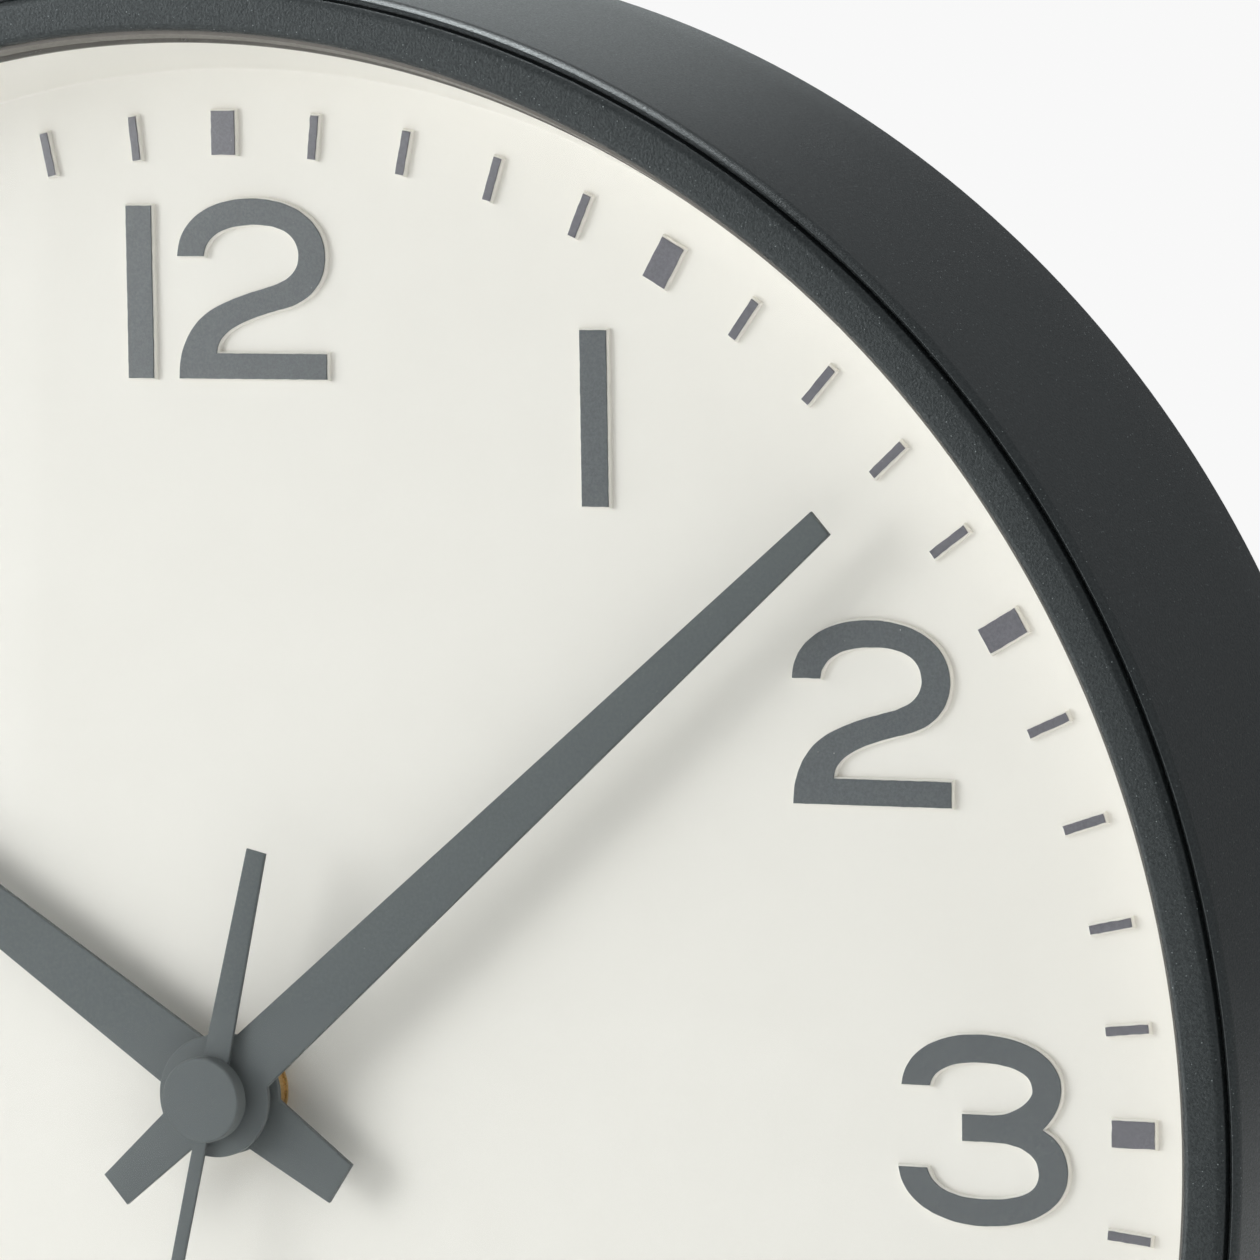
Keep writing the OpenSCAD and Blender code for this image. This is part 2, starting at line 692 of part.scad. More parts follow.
module movement_front() {
    color(movement_grey) stand() difference() {
        union() {
            difference() {
                slab(housing_lo(0), housing_hi(0), housing_split_z, housing_front_z - housing_split_z, 2.5);
                slab(housing_lo(housing_wall), housing_hi(housing_wall), housing_split_z - 1,
                    front_floor_z - housing_split_z + 1, 1.2);
            }
            at(third_pos, centre_z + 1.6) cylinder(r = 1.5, h = front_floor_z - centre_z - 1.5, $fn = 32);
            at(motion_pos, centre_z + 1.2) cylinder(r = 0.8, h = front_floor_z - centre_z - 1.1, $fn = 32);
            at(knob_pos, minute_z + 1.8) cylinder(r = 2.2, h = front_floor_z - minute_z - 1.7, $fn = 32);
            for (p = housing_screw_spots()) {
                at(p, housing_split_z)
                    cylinder(r = post_r, h = front_floor_z - housing_split_z + 0.1, $fn = 32);
            }
        }
        at([0, 0], front_floor_z - 1) cylinder(r = bushing_r, h = 4);
        at(third_pos, centre_z + 1) cylinder(r = arbor_r + fit_gap, h = 3.2, $fn = 24);
        at(knob_pos, minute_z + 1) cylinder(r = 1 + fit_gap, h = 3, $fn = 24);
        for (p = housing_screw_spots()) {
            at(p, housing_split_z - 1) cylinder(r = 0.8, h = 5, $fn = 24);
        }
    }
}

module movement_back() {
    color(movement_grey) stand() difference() {
        union() {
            difference() {
                slab(housing_lo(0), housing_hi(0), housing_back_z, housing_split_z - housing_back_z, 2.5);
                slab(housing_lo(housing_wall), [housing_r - housing_wall, bay_wall_y], housing_back_z - 1,
                    housing_split_z, 1.2);
                slab([housing_l + housing_wall, bay_wall_y + 1.2], housing_hi(housing_wall), floor_z,
                    housing_split_z, 1.2);
            }
            at(knob_pos, housing_back_z + 1) cylinder(r = 2.6, h = 5, $fn = 32);
            for (p = housing_screw_spots()) {
                at(p, housing_back_z + 1)
                    cylinder(r = post_r, h = housing_split_z - housing_back_z - 1, $fn = 32);
            }
        }
        at(knob_pos, housing_back_z - 1) cylinder(r = 1 + fit_gap, h = 8, $fn = 24);
        for (p = housing_screw_spots()) {
            at(p, housing_back_z - 1) cylinder(r = 1.05, h = 10, $fn = 24);
            at(p, housing_back_z - 1) cylinder(r = 2.1, h = 2.2, $fn = 24);
        }
        // notches through the bay's wall for the two contact strips
        box([24.9, bay_wall_y - 1, 11.5], [26.5, bay_wall_y + 2, 17]);
        box([-26.5, bay_wall_y - 1, 11.5], [-25.5, bay_wall_y + 2, 17]);
    }
}

module movement_screws() {
    color(steel) stand() for (p = housing_screw_spots()) {
        at(p) pan_screw(housing_back_z + 1.2, 1.9, 1.1, 0.8, 9);
    }
}

module train_bridge() {
    color(steel) stand() difference() {
        slab([-20.5, -10.8], [10, 22.6], floor_z, 0.8, 1.5);
        for (p = [[0, 0], third_pos, intermediate_pos, rotor_pos]) {
            at(p, floor_z - 1) cylinder(r = arbor_r + 0.05, h = 3, $fn = 24);
        }
    }
}

module middle_plate() {
    color("#8d8f91") stand() difference() {
        slab([-19.7, -10.8], [9.7, 22.6], middle_z, middle_t, 1.5);
        for (p = [[0, 0], third_pos, intermediate_pos, rotor_pos]) {
            at(p, middle_z - 1) cylinder(r = arbor_r + 0.05, h = 3, $fn = 24);
        }
    }
}

module bridge_pillars() {
    color(steel) stand() for (p = [[8, -9.2], [8.2, 20.6], [-14.5, 21]]) {
        at(p, floor_z + 0.8) cylinder(r = 1.2, h = middle_z - floor_z - 0.8, $fn = 24);
    }
}

// ---- stepping motor ----

module stator() {
    color("#8f9295") stand() difference() {
        union() {
            at(rotor_pos, core_z + 1) cylinder(r = 5, h = 0.8, $fn = 48);
            box([coil_x - 1.2, -3, core_z + 1], [coil_x + 3, 1.6, core_z + 1.8]);
            box([coil_x + 3.3, -1, core_z + 1], [coil_x + 5.8, coil_top + 2.4, core_z + 1.8]);
            box([coil_x - 1.2, coil_top + 0.4, core_z + 1], [coil_x + 5, coil_top + 2.4, core_z + 1.8]);
        }
        at(rotor_pos, core_z) cylinder(r = rotor_hole_r, h = 3, $fn = 48);
        // the two saturation notches
        at(rotor_pos, core_z) rotate([0, 0, 45])
            box([-rotor_hole_r - 0.4, -0.25, 0], [rotor_hole_r + 0.4, 0.25, 3]);
    }
}

module coil_core() {
    color("#8f9295") stand() box([coil_x - 1, -3, core_z], [coil_x + 1, coil_top + 2.4, core_z + 1]);
}

module coil_bobbin() {
    bobbin_l = coil_top - coil_bottom;
    color("#d8d2c0") stand() translate([coil_x, coil_bottom, core_z + 0.5]) rotate([-90, 0, 0])
        difference() {
            union() {
                cylinder(r = coil_tube_r, h = bobbin_l, $fn = 32);
                for (z = [0, bobbin_l - coil_flange_t]) {
                    at([0, 0], z) cylinder(r = coil_r, h = coil_flange_t, $fn = 32);
                }
            }
            box([-1.05, -0.55, -1], [1.05, 0.55, bobbin_l + 1]);
        }
}

module coil_winding() {
    winding_l = coil_top - coil_bottom - 2 * coil_flange_t;
    color("#a85b2a") stand() translate([coil_x, coil_bottom + coil_flange_t, core_z + 0.5])
        rotate([-90, 0, 0]) ring(coil_r - 0.25, coil_tube_r, winding_l, $fn = 32);
}

module rotor_pinion() {
    color(wheel_white) stand() at(rotor_pos) {
        at([0, 0], pivot_z) cylinder(r = arbor_r, h = middle_z + 0.5 - pivot_z, $fn = 24);
        at([0, 0], drive_z - 0.2) gear(rotor_teeth, drive_module, wheel_t + 0.4, rotor_turn);
        at([0, 0], drive_z + 0.9) cylinder(r = 0.9, h = 2.6, $fn = 24);
    }
}

module rotor_magnet() {
    color("#55585c") stand() at(rotor_pos, core_z + 0.4) ring(rotor_hole_r - 0.4, 0.9, 1.7, $fn = 48);
}

// ---- going train ----

module intermediate_wheel() {
    color(wheel_white) stand() at(intermediate_pos) {
        at([0, 0], pivot_z) cylinder(r = arbor_r, h = middle_z + 0.5 - pivot_z, $fn = 24);
        at([0, 0], drive_z) gear(intermediate_teeth, drive_module, wheel_t, intermediate_turn);
        at([0, 0], drive_z + wheel_t - 0.1) cylinder(r = 1, h = 0.8, $fn = 24);
        at([0, 0], second_z - pinion_over)
            gear(drive_pinion_teeth, drive_module, wheel_t + 2 * pinion_over, drive_pinion_turn);
    }
}

module second_wheel() {
    color(wheel_white) stand() {
        at([0, 0], pivot_z) cylinder(r = arbor_r, h = second_arbor_end_z - pivot_z, $fn = 24);
        at([0, 0], second_z) gear(second_teeth, drive_module, wheel_t, second_turn);
        at([0, 0], second_z + wheel_t - 0.1) cylinder(r = 0.9, h = 0.95, $fn = 24);
        at([0, 0], third_z - pinion_over)
            gear(second_pinion_teeth, third_module, wheel_t + 2 * pinion_over, second_pinion_turn);
    }
}

module third_wheel() {
    color(wheel_white) stand() at(third_pos) {
        at([0, 0], pivot_z) cylinder(r = arbor_r, h = centre_z + 3.2 - pivot_z, $fn = 24);
        at([0, 0], third_z) gear(third_teeth, third_module, wheel_t, third_turn);
        at([0, 0], centre_z - pinion_over)
            gear(third_pinion_teeth, centre_module, wheel_t + 2 * pinion_over, third_pinion_turn);
    }
}

module centre_wheel() {
    color(wheel_white) stand() at([0, 0], centre_z) difference() {
        gear(centre_teeth, centre_module, wheel_t, centre_turn);
        at([0, 0], -1) cylinder(r = 2.2 + fit_gap, h = 3, $fn = 32);
    }
}

// ---- motion work ----

module cannon_pinion() {
    color(wheel_white) stand() difference() {
        union() {
            at([0, 0], centre_z - 0.2) cylinder(r = 2.2, h = 1.5, $fn = 32);
            at([0, 0], centre_z + wheel_t + 0.25) cylinder(r = 2.5, h = 0.6, $fn = 32);
            at([0, 0], minute_z) gear(cannon_teeth, minute_module, motion_t, cannon_turn);
            at([0, 0], centre_z) cylinder(r = minute_pipe_r, h = minute_pipe_end_z - centre_z, $fn = 48);
        }
        at([0, 0], centre_z - 1) cylinder(r = arbor_r + fit_gap, h = 20, $fn = 48);
    }
}

// A sprung washer that presses the centre wheel against the cannon pinion
module clutch_spring() {
    color(steel) stand() at([0, 0], centre_z + wheel_t + 0.05) ring(3.4, 2.2, 0.15, $fn = 48);
}

module minute_wheel() {
    color(wheel_white) stand() at(motion_pos) difference() {
        union() {
            at([0, 0], minute_z) gear(minute_teeth, minute_module, motion_t, minute_turn);
            at([0, 0], minute_z + motion_t - 0.1) cylinder(r = 1.6, h = 0.6, $fn = 32);
            at([0, 0], hour_z - pinion_over)
                gear(minute_pinion_teeth, hour_module, 1.4, minute_pinion_turn);
        }
        at([0, 0], minute_z - 1) cylinder(r = 0.8 + fit_gap, h = 5, $fn = 32);
    }
}

module hour_wheel() {
    color(wheel_white) stand() difference() {
        union() {
            at([0, 0], hour_z) gear(hour_teeth, hour_module, 1.1, hour_turn);
            at([0, 0], hour_z) cylinder(r = hour_pipe_r, h = hour_pipe_end_z - hour_z, $fn = 48);
        }
        at([0, 0], hour_z - 1) cylinder(r = minute_pipe_r + fit_gap, h = 16, $fn = 48);
    }
}

module setting_pinion() {
    color(wheel_white) stand() at(knob_pos) {
        at([0, 0], knob_z + knob_h) cylinder(r = 1, h = minute_z - knob_z - knob_h + 3.4, $fn = 24);
        at([0, 0], minute_z) gear(cannon_teeth, minute_module, motion_t, setting_turn);
    }
}

module setting_knob() {
    color("#d9d9d4") stand() at(knob_pos, knob_z) difference() {
        union() {
            cylinder(r = knob_r, h = knob_h, $fn = 48);
            for (i = [0 : knob_ribs - 1]) {
                rotate([0, 0, i * 360 / knob_ribs])
                    box([knob_r - 0.4, -0.35, 0], [knob_r + 0.4, 0.35, knob_h]);
            }
        }
        at([0, 0], 2) cylinder(r = 1, h = 2, $fn = 24);
    }
}

// ---- electronics ----

module circuit_board() {
    color("#2f6b3c") stand() difference() {
        slab([11.5, 5.5], [26.2, 16.8], 11, 1.2, 0.6);
        for (x = [14, 23]) {
            at([x, 15], 10) cylinder(r = 0.6, h = 3, $fn = 24);
        }
    }
}

module timing_chip() {
    color("#17181a") stand() at([16.5, 9.8], 12.2) intersection() {
        cylinder(r = 2.6, h = 1, $fn = 48);
        translate([0, 0, -6.2]) sphere(r = 7.2, $fn = 48);
    }
}

module quartz_crystal() {
    color(steel) stand() translate([22.6, 7.4, 13.8]) rotate([-90, 0, 0]) {
        cylinder(r = 1.5, h = 6.6, $fn = 32);
        for (x = [-0.6, 0.6]) {
            translate([x, 0, -1.2]) cylinder(r = 0.2, h = 1.3, $fn = 16);
        }
    }
}

module battery() {
    color("#3d4d5c") stand() translate([-24.6, battery_y, battery_z]) rotate([0, 90, 0]) {
        turned([[0, 0], [battery_r - 0.4, 0], [battery_r, 0.4], [battery_r, 48.2], [battery_r - 0.6, 48.8],
            [2.7, 48.8], [2.7, 49.6], [0, 49.6]], 72);
    }
}

module battery_positive_contact() {
    color(steel) stand() {
        box([25, -27, 11], [25.4, bay_wall_y - 0.4, 19.4]);
        box([25, bay_wall_y - 1.6, 12.2], [26.4, bay_wall_y - 1.2, 14]);
        box([26, bay_wall_y - 1.6, 12.2], [26.4, 8, 14]);
    }
}

// Points of a conical spring along the battery's axis
spring_turns = 3;
spring_wire_r = 0.35;
spring_steps = 12;
function spring_point(i) = let (f = i / (spring_turns * spring_steps), r = 3.6 - 1.6 * f)
    [0.4 + 0.85 * f, r * cos(360 * i / spring_steps), r * sin(360 * i / spring_steps)];
function spring_ring(i) = [
    for (k = [0 : 5])
        let (p = spring_point(i), a = 360 * i / spring_steps, c = spring_wire_r * cos(60 * k))
        [p.x + spring_wire_r * sin(60 * k), p.y + c * cos(a), p.z + c * sin(a)]
];

module conical_spring() {
    last = spring_turns * spring_steps;
    polyhedron(
        [for (i = [0 : last]) each spring_ring(i)],
        concat(
            [[5, 4, 3, 2, 1, 0]],
            [for (i = [0 : last - 1], k = [0 : 5])
                let (n = (k + 1) % 6)
                [6 * i + k, 6 * i + n, 6 * i + 6 + n, 6 * i + 6 + k]],
            [[for (k = [0 : 5]) 6 * last + k]]
        )
    );
}

module battery_negative_spring() {
    color(steel) stand() {
        box([-26.4, -27, 11], [-26, bay_wall_y - 1.3, 19.4]);
        box([-26.4, bay_wall_y - 1.4, 12.2], [-26, strip_y, 14]);
        box([-26.4, strip_y - 0.4, 12.2], [12.8, strip_y, 14]);
        box([11.6, strip_y - 0.4, 10.6], [12.8, strip_y, 12.4]);
        box([11.6, strip_y - 0.4, 10.6], [12.8, 7.5, 11]);
        translate([-26.35, battery_y, battery_z]) conical_spring();
    }
}

// ---- back ----

module hanger_slot(z, h, grow_r) {
    at([0, hanger_y], z) cylinder(r = hanger_hole_r + grow_r, h = h, $fn = 48);
    at([0, hanger_y + hanger_rise], z) cylinder(r = hanger_slot_r + grow_r, h = h, $fn = 48);
    box([-hanger_slot_r - grow_r, hanger_y, z], [hanger_slot_r + grow_r, hanger_y + hanger_rise, z + h]);
}

module rear_cover() {
    color("#303335") stand() difference() {
        at([0, 0], cover_z) cylinder(r = cover_r, h = cover_t, $fn = 180);
        slab([-window.x / 2, window_y - window.y / 2], [window.x / 2, window_y + window.y / 2],
            cover_z - 1, cover_t + 2, 4);
        for (i = [0 : boss_count - 1]) {
            rotate([0, 0, 30 + i * 360 / boss_count])
                at([boss_circle_r, 0], cover_z - 1) cylinder(r = screw_r + 0.25, h = cover_t + 2, $fn = 24);
        }
        hanger_slot(cover_z - 1, cover_t + 2, 3);
        for (x = [-hanger_screw_x, hanger_screw_x]) {
            at([x, hanger_screw_y], cover_z - 1) cylinder(r = screw_r, h = cover_t + 2, $fn = 24);
        }
    }
}

module cover_screws() {
    color(steel) stand() for (i = [0 : boss_count - 1]) {
        rotate([0, 0, 30 + i * 360 / boss_count])
            at([boss_circle_r, 0]) pan_screw(cover_z, 2.7, 1.6, screw_r, 11);
    }
}

module hanger_plate() {
    color(steel) stand() difference() {
        slab([-22, hanger_y - 9], [22, hanger_y + 15], cover_z - hanger_t, hanger_t, 4);
        hanger_slot(cover_z - hanger_t - 1, hanger_t + 2, 0);
        for (x = [-hanger_screw_x, hanger_screw_x]) {
            at([x, hanger_screw_y], cover_z - hanger_t - 1)
                cylinder(r = screw_r + 0.1, h = hanger_t + 2, $fn = 24);
        }
    }
}

module hanger_screws() {
    color(steel) stand() for (x = [-hanger_screw_x, hanger_screw_x]) {
        at([x, hanger_screw_y]) pan_screw(cover_z - hanger_t, 2.6, 1.3, screw_r, 6);
    }
}

module wall_pads() {
    color("#1e1e1e") stand() for (x = [-pad_pos.x, pad_pos.x]) {
        at([x, pad_pos.y]) cylinder(r = pad_r, h = cover_z, $fn = 48);
    }
}

case();
bezel();
lens();
lens_gasket();
dial();
numeral_print();
minute_mark_print();
hour_hand();
hour_hand_bush();
minute_hand();
minute_hand_bush();
second_hand();
second_hand_tube();
second_hand_cap();
fixing_nut();
dial_washer();
cushion_washer();
movement_front();
movement_back();
movement_screws();
threaded_bushing();
train_bridge();
middle_plate();
bridge_pillars();
stator();
coil_core();
coil_bobbin();
coil_winding();
rotor_pinion();
rotor_magnet();
intermediate_wheel();
second_wheel();
third_wheel();
centre_wheel();
cannon_pinion();
clutch_spring();
minute_wheel();
hour_wheel();
setting_pinion();
setting_knob();
circuit_board();
timing_chip();
quartz_crystal();
battery();
battery_positive_contact();
battery_negative_spring();
rear_cover();
cover_screws();
hanger_plate();
hanger_screws();
wall_pads();
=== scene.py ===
"""A round wall clock: its looks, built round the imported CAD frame."""
import json
import math

import bmesh
import bpy
from mathutils import Matrix, Vector, noise
from mathutils.geometry import tessellate_polygon

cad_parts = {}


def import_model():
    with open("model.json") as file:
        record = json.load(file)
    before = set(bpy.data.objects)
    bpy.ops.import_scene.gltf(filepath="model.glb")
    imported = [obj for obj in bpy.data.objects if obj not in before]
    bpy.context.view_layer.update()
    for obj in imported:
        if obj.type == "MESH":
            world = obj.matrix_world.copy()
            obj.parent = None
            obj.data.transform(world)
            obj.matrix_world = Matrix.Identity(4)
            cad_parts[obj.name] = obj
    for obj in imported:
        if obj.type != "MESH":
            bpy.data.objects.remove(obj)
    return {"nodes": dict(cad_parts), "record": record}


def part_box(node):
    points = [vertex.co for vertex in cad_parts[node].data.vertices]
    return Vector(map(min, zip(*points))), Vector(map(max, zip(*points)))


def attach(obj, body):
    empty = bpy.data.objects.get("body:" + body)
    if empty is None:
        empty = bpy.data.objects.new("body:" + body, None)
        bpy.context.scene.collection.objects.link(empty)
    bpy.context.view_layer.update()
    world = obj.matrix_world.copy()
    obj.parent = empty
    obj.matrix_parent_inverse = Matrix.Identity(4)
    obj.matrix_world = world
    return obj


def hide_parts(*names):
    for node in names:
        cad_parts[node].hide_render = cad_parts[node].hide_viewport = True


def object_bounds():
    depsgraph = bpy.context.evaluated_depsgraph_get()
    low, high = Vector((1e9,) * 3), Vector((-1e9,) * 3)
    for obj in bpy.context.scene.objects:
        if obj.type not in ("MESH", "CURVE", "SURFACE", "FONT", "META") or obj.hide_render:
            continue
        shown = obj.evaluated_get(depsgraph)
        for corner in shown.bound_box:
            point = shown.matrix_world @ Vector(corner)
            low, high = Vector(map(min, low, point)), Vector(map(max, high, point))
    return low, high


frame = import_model()
cad_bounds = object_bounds()
MM = 0.001


# ---- places and sizes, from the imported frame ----
# Everything below is drawn in the dial's own frame: x to three o'clock, u to twelve, h away from the wall.

def place(x, u, h):
    return Vector((x, -h, u))


def front(node):
    """How far a node's front stands from the wall."""
    return -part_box(node)[0].y


def back(node):
    """How far a node's back stands from the wall."""
    return -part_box(node)[1].y


def radius(node):
    low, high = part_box(node)
    return (high.x - low.x) / 2


CASE_R = radius("case")
RIM_H = front("case")
FRONT_H = front("bezel")
BEZEL_BACK_H = back("bezel")
COVER_FRONT_H = front("rear_cover")
PRINT_H = front("numeral_print")
PRINT_BACK_H = back("numeral_print")
DIAL_BACK_H = back("dial")
DIAL_RIM_H = front("dial")
DIAL_OUT_R = radius("dial")
LENS_R = radius("lens")
LENS_H = back("lens")
LENS_FRONT_H = front("lens")
CAP_R = radius("second_hand_cap")
CAP_H = back("second_hand_cap")
CAP_FRONT_H = front("second_hand_cap")

# What the boxes don't give: the drum's draft and wall, the bezel's flange, the dial's tray and blocks
DRAFT = 1.8 * MM
FRONT_R = CASE_R - DRAFT
SEAT_R = FRONT_R - 0.8 * MM
WALL = 2.7 * MM
BEZEL_GAP = 0.5 * MM
SKIRT_R = SEAT_R - BEZEL_GAP
SKIRT_T = 1.5 * MM
FLANGE_IN_R = 121.8 * MM
FLANGE_H = FRONT_H - 1.2 * MM
DIAL_RIM_R = 120.4 * MM
DIAL_FLAT_R = 117.3 * MM
DIAL_H = PRINT_H - 0.8 * MM
LEDGE_H = DIAL_RIM_H - 1.2 * MM
LEDGE_T = 1.6 * MM
LEDGE_R = 122.6 * MM
BORE_R = 4.1 * MM
BOSS_CIRCLE_R = 123.5 * MM
BOSS_R = 3 * MM
BOSS_COUNT = 6
RIB_COUNT = 12
PRINT_MARGIN = 0.15 * MM
ROUND = 360


# ---- mesh helpers ----

SAME = 1e-6  # points closer than this are taken as one


def finished(bm, name, smooth=35):
    """Turns a bmesh into an object whose edges sharper than smooth degrees stay crisp."""
    bmesh.ops.remove_doubles(bm, verts=bm.verts, dist=SAME / 10)
    bmesh.ops.recalc_face_normals(bm, faces=bm.faces)
    mesh = bpy.data.meshes.new(name)
    bm.to_mesh(mesh)
    bm.free()
    mesh.shade_smooth()
    mesh.set_sharp_from_angle(angle=math.radians(smooth))
    piece = bpy.data.objects.new(name, mesh)
    bpy.context.scene.collection.objects.link(piece)
    return piece


def arc(r, h, size, start, end, steps=6):
    """Points (radius, height) of a fillet round the centre (r, h)."""
    turns = [math.radians(start + (end - start) * i / steps) for i in range(steps + 1)]
    return [(r + size * math.cos(t), h + size * math.sin(t)) for t in turns]


def add_lathe(bm, profile, steps=ROUND, centre=(0, 0)):
    """Turns a closed profile of (radius, height) points round the hand axis, or round one through centre."""
    rings = []
    for r, h in profile:
        if r < SAME:
            rings.append([bm.verts.new(place(centre[0], centre[1], h))])
            continue
        turns = [2 * math.pi * i / steps for i in range(steps)]
        rings.append([
            bm.verts.new(place(centre[0] + r * math.sin(t), centre[1] + r * math.cos(t), h)) for t in turns
        ])
    for here, there in zip(rings, rings[1:] + rings[:1]):
        if len(here) == 1 and len(there) == 1:
            continue
        for i in range(steps):
            corners = [here[i % len(here)], here[(i + 1) % len(here)]]
            corners += [there[(i + 1) % len(there)], there[i % len(there)]]
            bm.faces.new(list(dict.fromkeys(corners)))


def lathe(name, profile, steps=ROUND, smooth=35):
    """One turned piece."""
    bm = bmesh.new()
    add_lathe(bm, profile, steps)
    return finished(bm, name, smooth)


def add_box(bm, low, high, turn=0.0):
    """A box between two corners (x, u, h), turned clockwise about the hand axis by turn radians."""
    made = bmesh.ops.create_cube(bm, size=1)["verts"]
    size = [b - a for a, b in zip(low, high)]
    middle = [(a + b) / 2 for a, b in zip(low, high)]
    for v in made:
        x, u, h = (v.co[k] * size[k] + middle[k] for k in range(3))
        v.co = place(x * math.cos(turn) + u * math.sin(turn), u * math.cos(turn) - x * math.sin(turn), h)


# ---- outlines, taken from the front faces of flat CAD nodes ----

def front_outlines(node):
    """Closed loops of (x, u) points round the front faces of a flat node."""
    bm = bmesh.new()
    bm.from_mesh(frame["nodes"][node].data)
    bmesh.ops.remove_doubles(bm, verts=bm.verts, dist=SAME)
    top = front(node)
    faces = [f for f in bm.faces if all(abs(-v.co.y - top) < 2 * SAME for v in f.verts)]
    at_front = set(faces)
    following = {}
    for face in faces:
        for loop in face.loops:
            if not any(f in at_front and f is not face for f in loop.edge.link_faces):
                following[loop.vert] = loop.link_loop_next.vert
    loops = []
    while following:
        start = next(iter(following))
        v, points = start, []
        while v in following:
            points.append(Vector((v.co.x, v.co.z)))
            v = following.pop(v)
        loops.append(points)
    bm.free()
    return loops


def area(points):
    """Positive where the loop turns anticlockwise as seen from the front."""
    return sum(a.x * b.y - b.x * a.y for a, b in zip(points, points[1:] + points[:1])) / 2


def cleaned(points):
    """Drops points that lie on a straight line or on each other."""
    straight = math.radians(0.4)
    kept = []
    for i, p in enumerate(points):
        a, b = points[i - 1], points[(i + 1) % len(points)]
        into, out = p - a, b - p
        if into.length < SAME:
            continue
        if out.length > SAME and abs(into.angle_signed(out)) < straight:
            continue
        kept.append(p)
    return kept


def curved(points, corner):
    """Puts cubic curve points between those of a round stretch; turns over corner degrees stay sharp."""
    parts = 3
    n = len(points)
    turns = [
        abs(math.degrees((points[i] - points[i - 1]).angle_signed(points[(i + 1) % n] - points[i])))
        for i in range(n)
    ]
    smooth = []
    for i in range(n):
        a, b = points[i], points[(i + 1) % n]
        before, after = points[i - 1], points[(i + 2) % n]
        smooth.append(a)
        span = (b - a).length
        at_a = turns[i] < corner
        at_b = turns[(i + 1) % n] < corner
        if not at_a and not at_b:
            continue
        slope_a = (b - before).normalized() * span if at_a else (b - a)
        slope_b = (after - a).normalized() * span if at_b else (b - a)
        for k in range(1, parts):
            t = k / parts
            smooth.append(
                a * (2 * t**3 - 3 * t**2 + 1) + slope_a * (t**3 - 2 * t**2 + t)
                + b * (3 * t**2 - 2 * t**3) + slope_b * (t**3 - t**2)
            )
    return smooth


def smooth_outlines(node, corner=24):
    """A flat node's front outlines with their curved stretches made finer."""
    return [curved(cleaned(p), corner) for p in front_outlines(node)]


def grown(points, d):
    """Moves each side of a loop outwards from the solid by d; the solid is on the loop's left."""
    least = 0.3  # keeps the corners of sharp turns from moving too far
    n = len(points)
    moved = []
    for i in range(n):
        a = (points[i] - points[i - 1]).normalized()
        b = (points[(i + 1) % n] - points[i]).normalized()
        out = Vector((a.y + b.y, -a.x - b.x))
        moved.append(points[i] + out * d / max(1 + a.dot(b), least))
    return moved


def roughened(points, reach, grain):
    """Wavers an outline by up to reach, as the edge of a stamped foil does, in waves grain long."""
    step = 0.3 * MM
    stepped = []
    for a, b in zip(points, points[1:] + points[:1]):
        count = max(1, int((b - a).length / step))
        stepped += [a.lerp(b, k / count) for k in range(count)]
    elsewhere = Vector((9, 0, 4))
    wavered = []
    for p in stepped:
        at = (p / grain).to_3d()
        wavered.append(p + reach * Vector((noise.noise(at), noise.noise(at + elsewhere))))
    return wavered


def add_plate(bm, loops, section):
    """A flat solid over loops. section lists (growth, height) from its back face to its front face."""
    walls = []
    for loop in loops:
        rings = []
        for growth, h in section:
            rings.append([bm.verts.new(place(p.x, p.y, h)) for p in grown(loop, growth)])
        for low, high in zip(rings, rings[1:]):
            for i in range(len(loop)):
                j = (i + 1) % len(loop)
                bm.faces.new((low[i], low[j], high[j], high[i]))
        walls.append(rings)
    for end in (0, -1):
        verts = [v for rings in walls for v in rings[end]]
        outline = [[Vector((v.co.x, v.co.z, 0)) for v in rings[end]] for rings in walls]
        for a, b, c in tessellate_polygon(outline):
            if len({a, b, c}) == 3:
                bm.faces.new((verts[a], verts[b], verts[c]))


def rounded_edge(growth, height, size, angles):
    """Section points of a front edge that is rounded by size, from its side up to its face."""
    turns = [math.radians(a) for a in angles]
    return [(growth - size * (1 - math.cos(t)), height - size * (1 - math.sin(t))) for t in turns]


def grouped(loops):
    """Pairs each outer loop with the holes inside it, all turning so that the solid is on their left."""
    outers = [p if area(p) > 0 else p[::-1] for p in loops if is_outer(p, loops)]
    holes = [p[::-1] if area(p) > 0 else p for p in loops if not is_outer(p, loops)]
    return [[outer] + [h for h in holes if inside(h[0], outer)] for outer in outers]


def inside(p, loop):
    """Whether a line from p to the right crosses the loop an odd number of times."""
    crossings = 0
    for a, b in zip(loop, loop[1:] + loop[:1]):
        if (a.y > p.y) != (b.y > p.y) and p.x < a.x + (p.y - a.y) * (b.x - a.x) / (b.y - a.y):
            crossings += 1
    return crossings % 2 == 1


def is_outer(p, loops):
    return not any(inside(p[0], q) for q in loops if q is not p)


# ---- materials ----

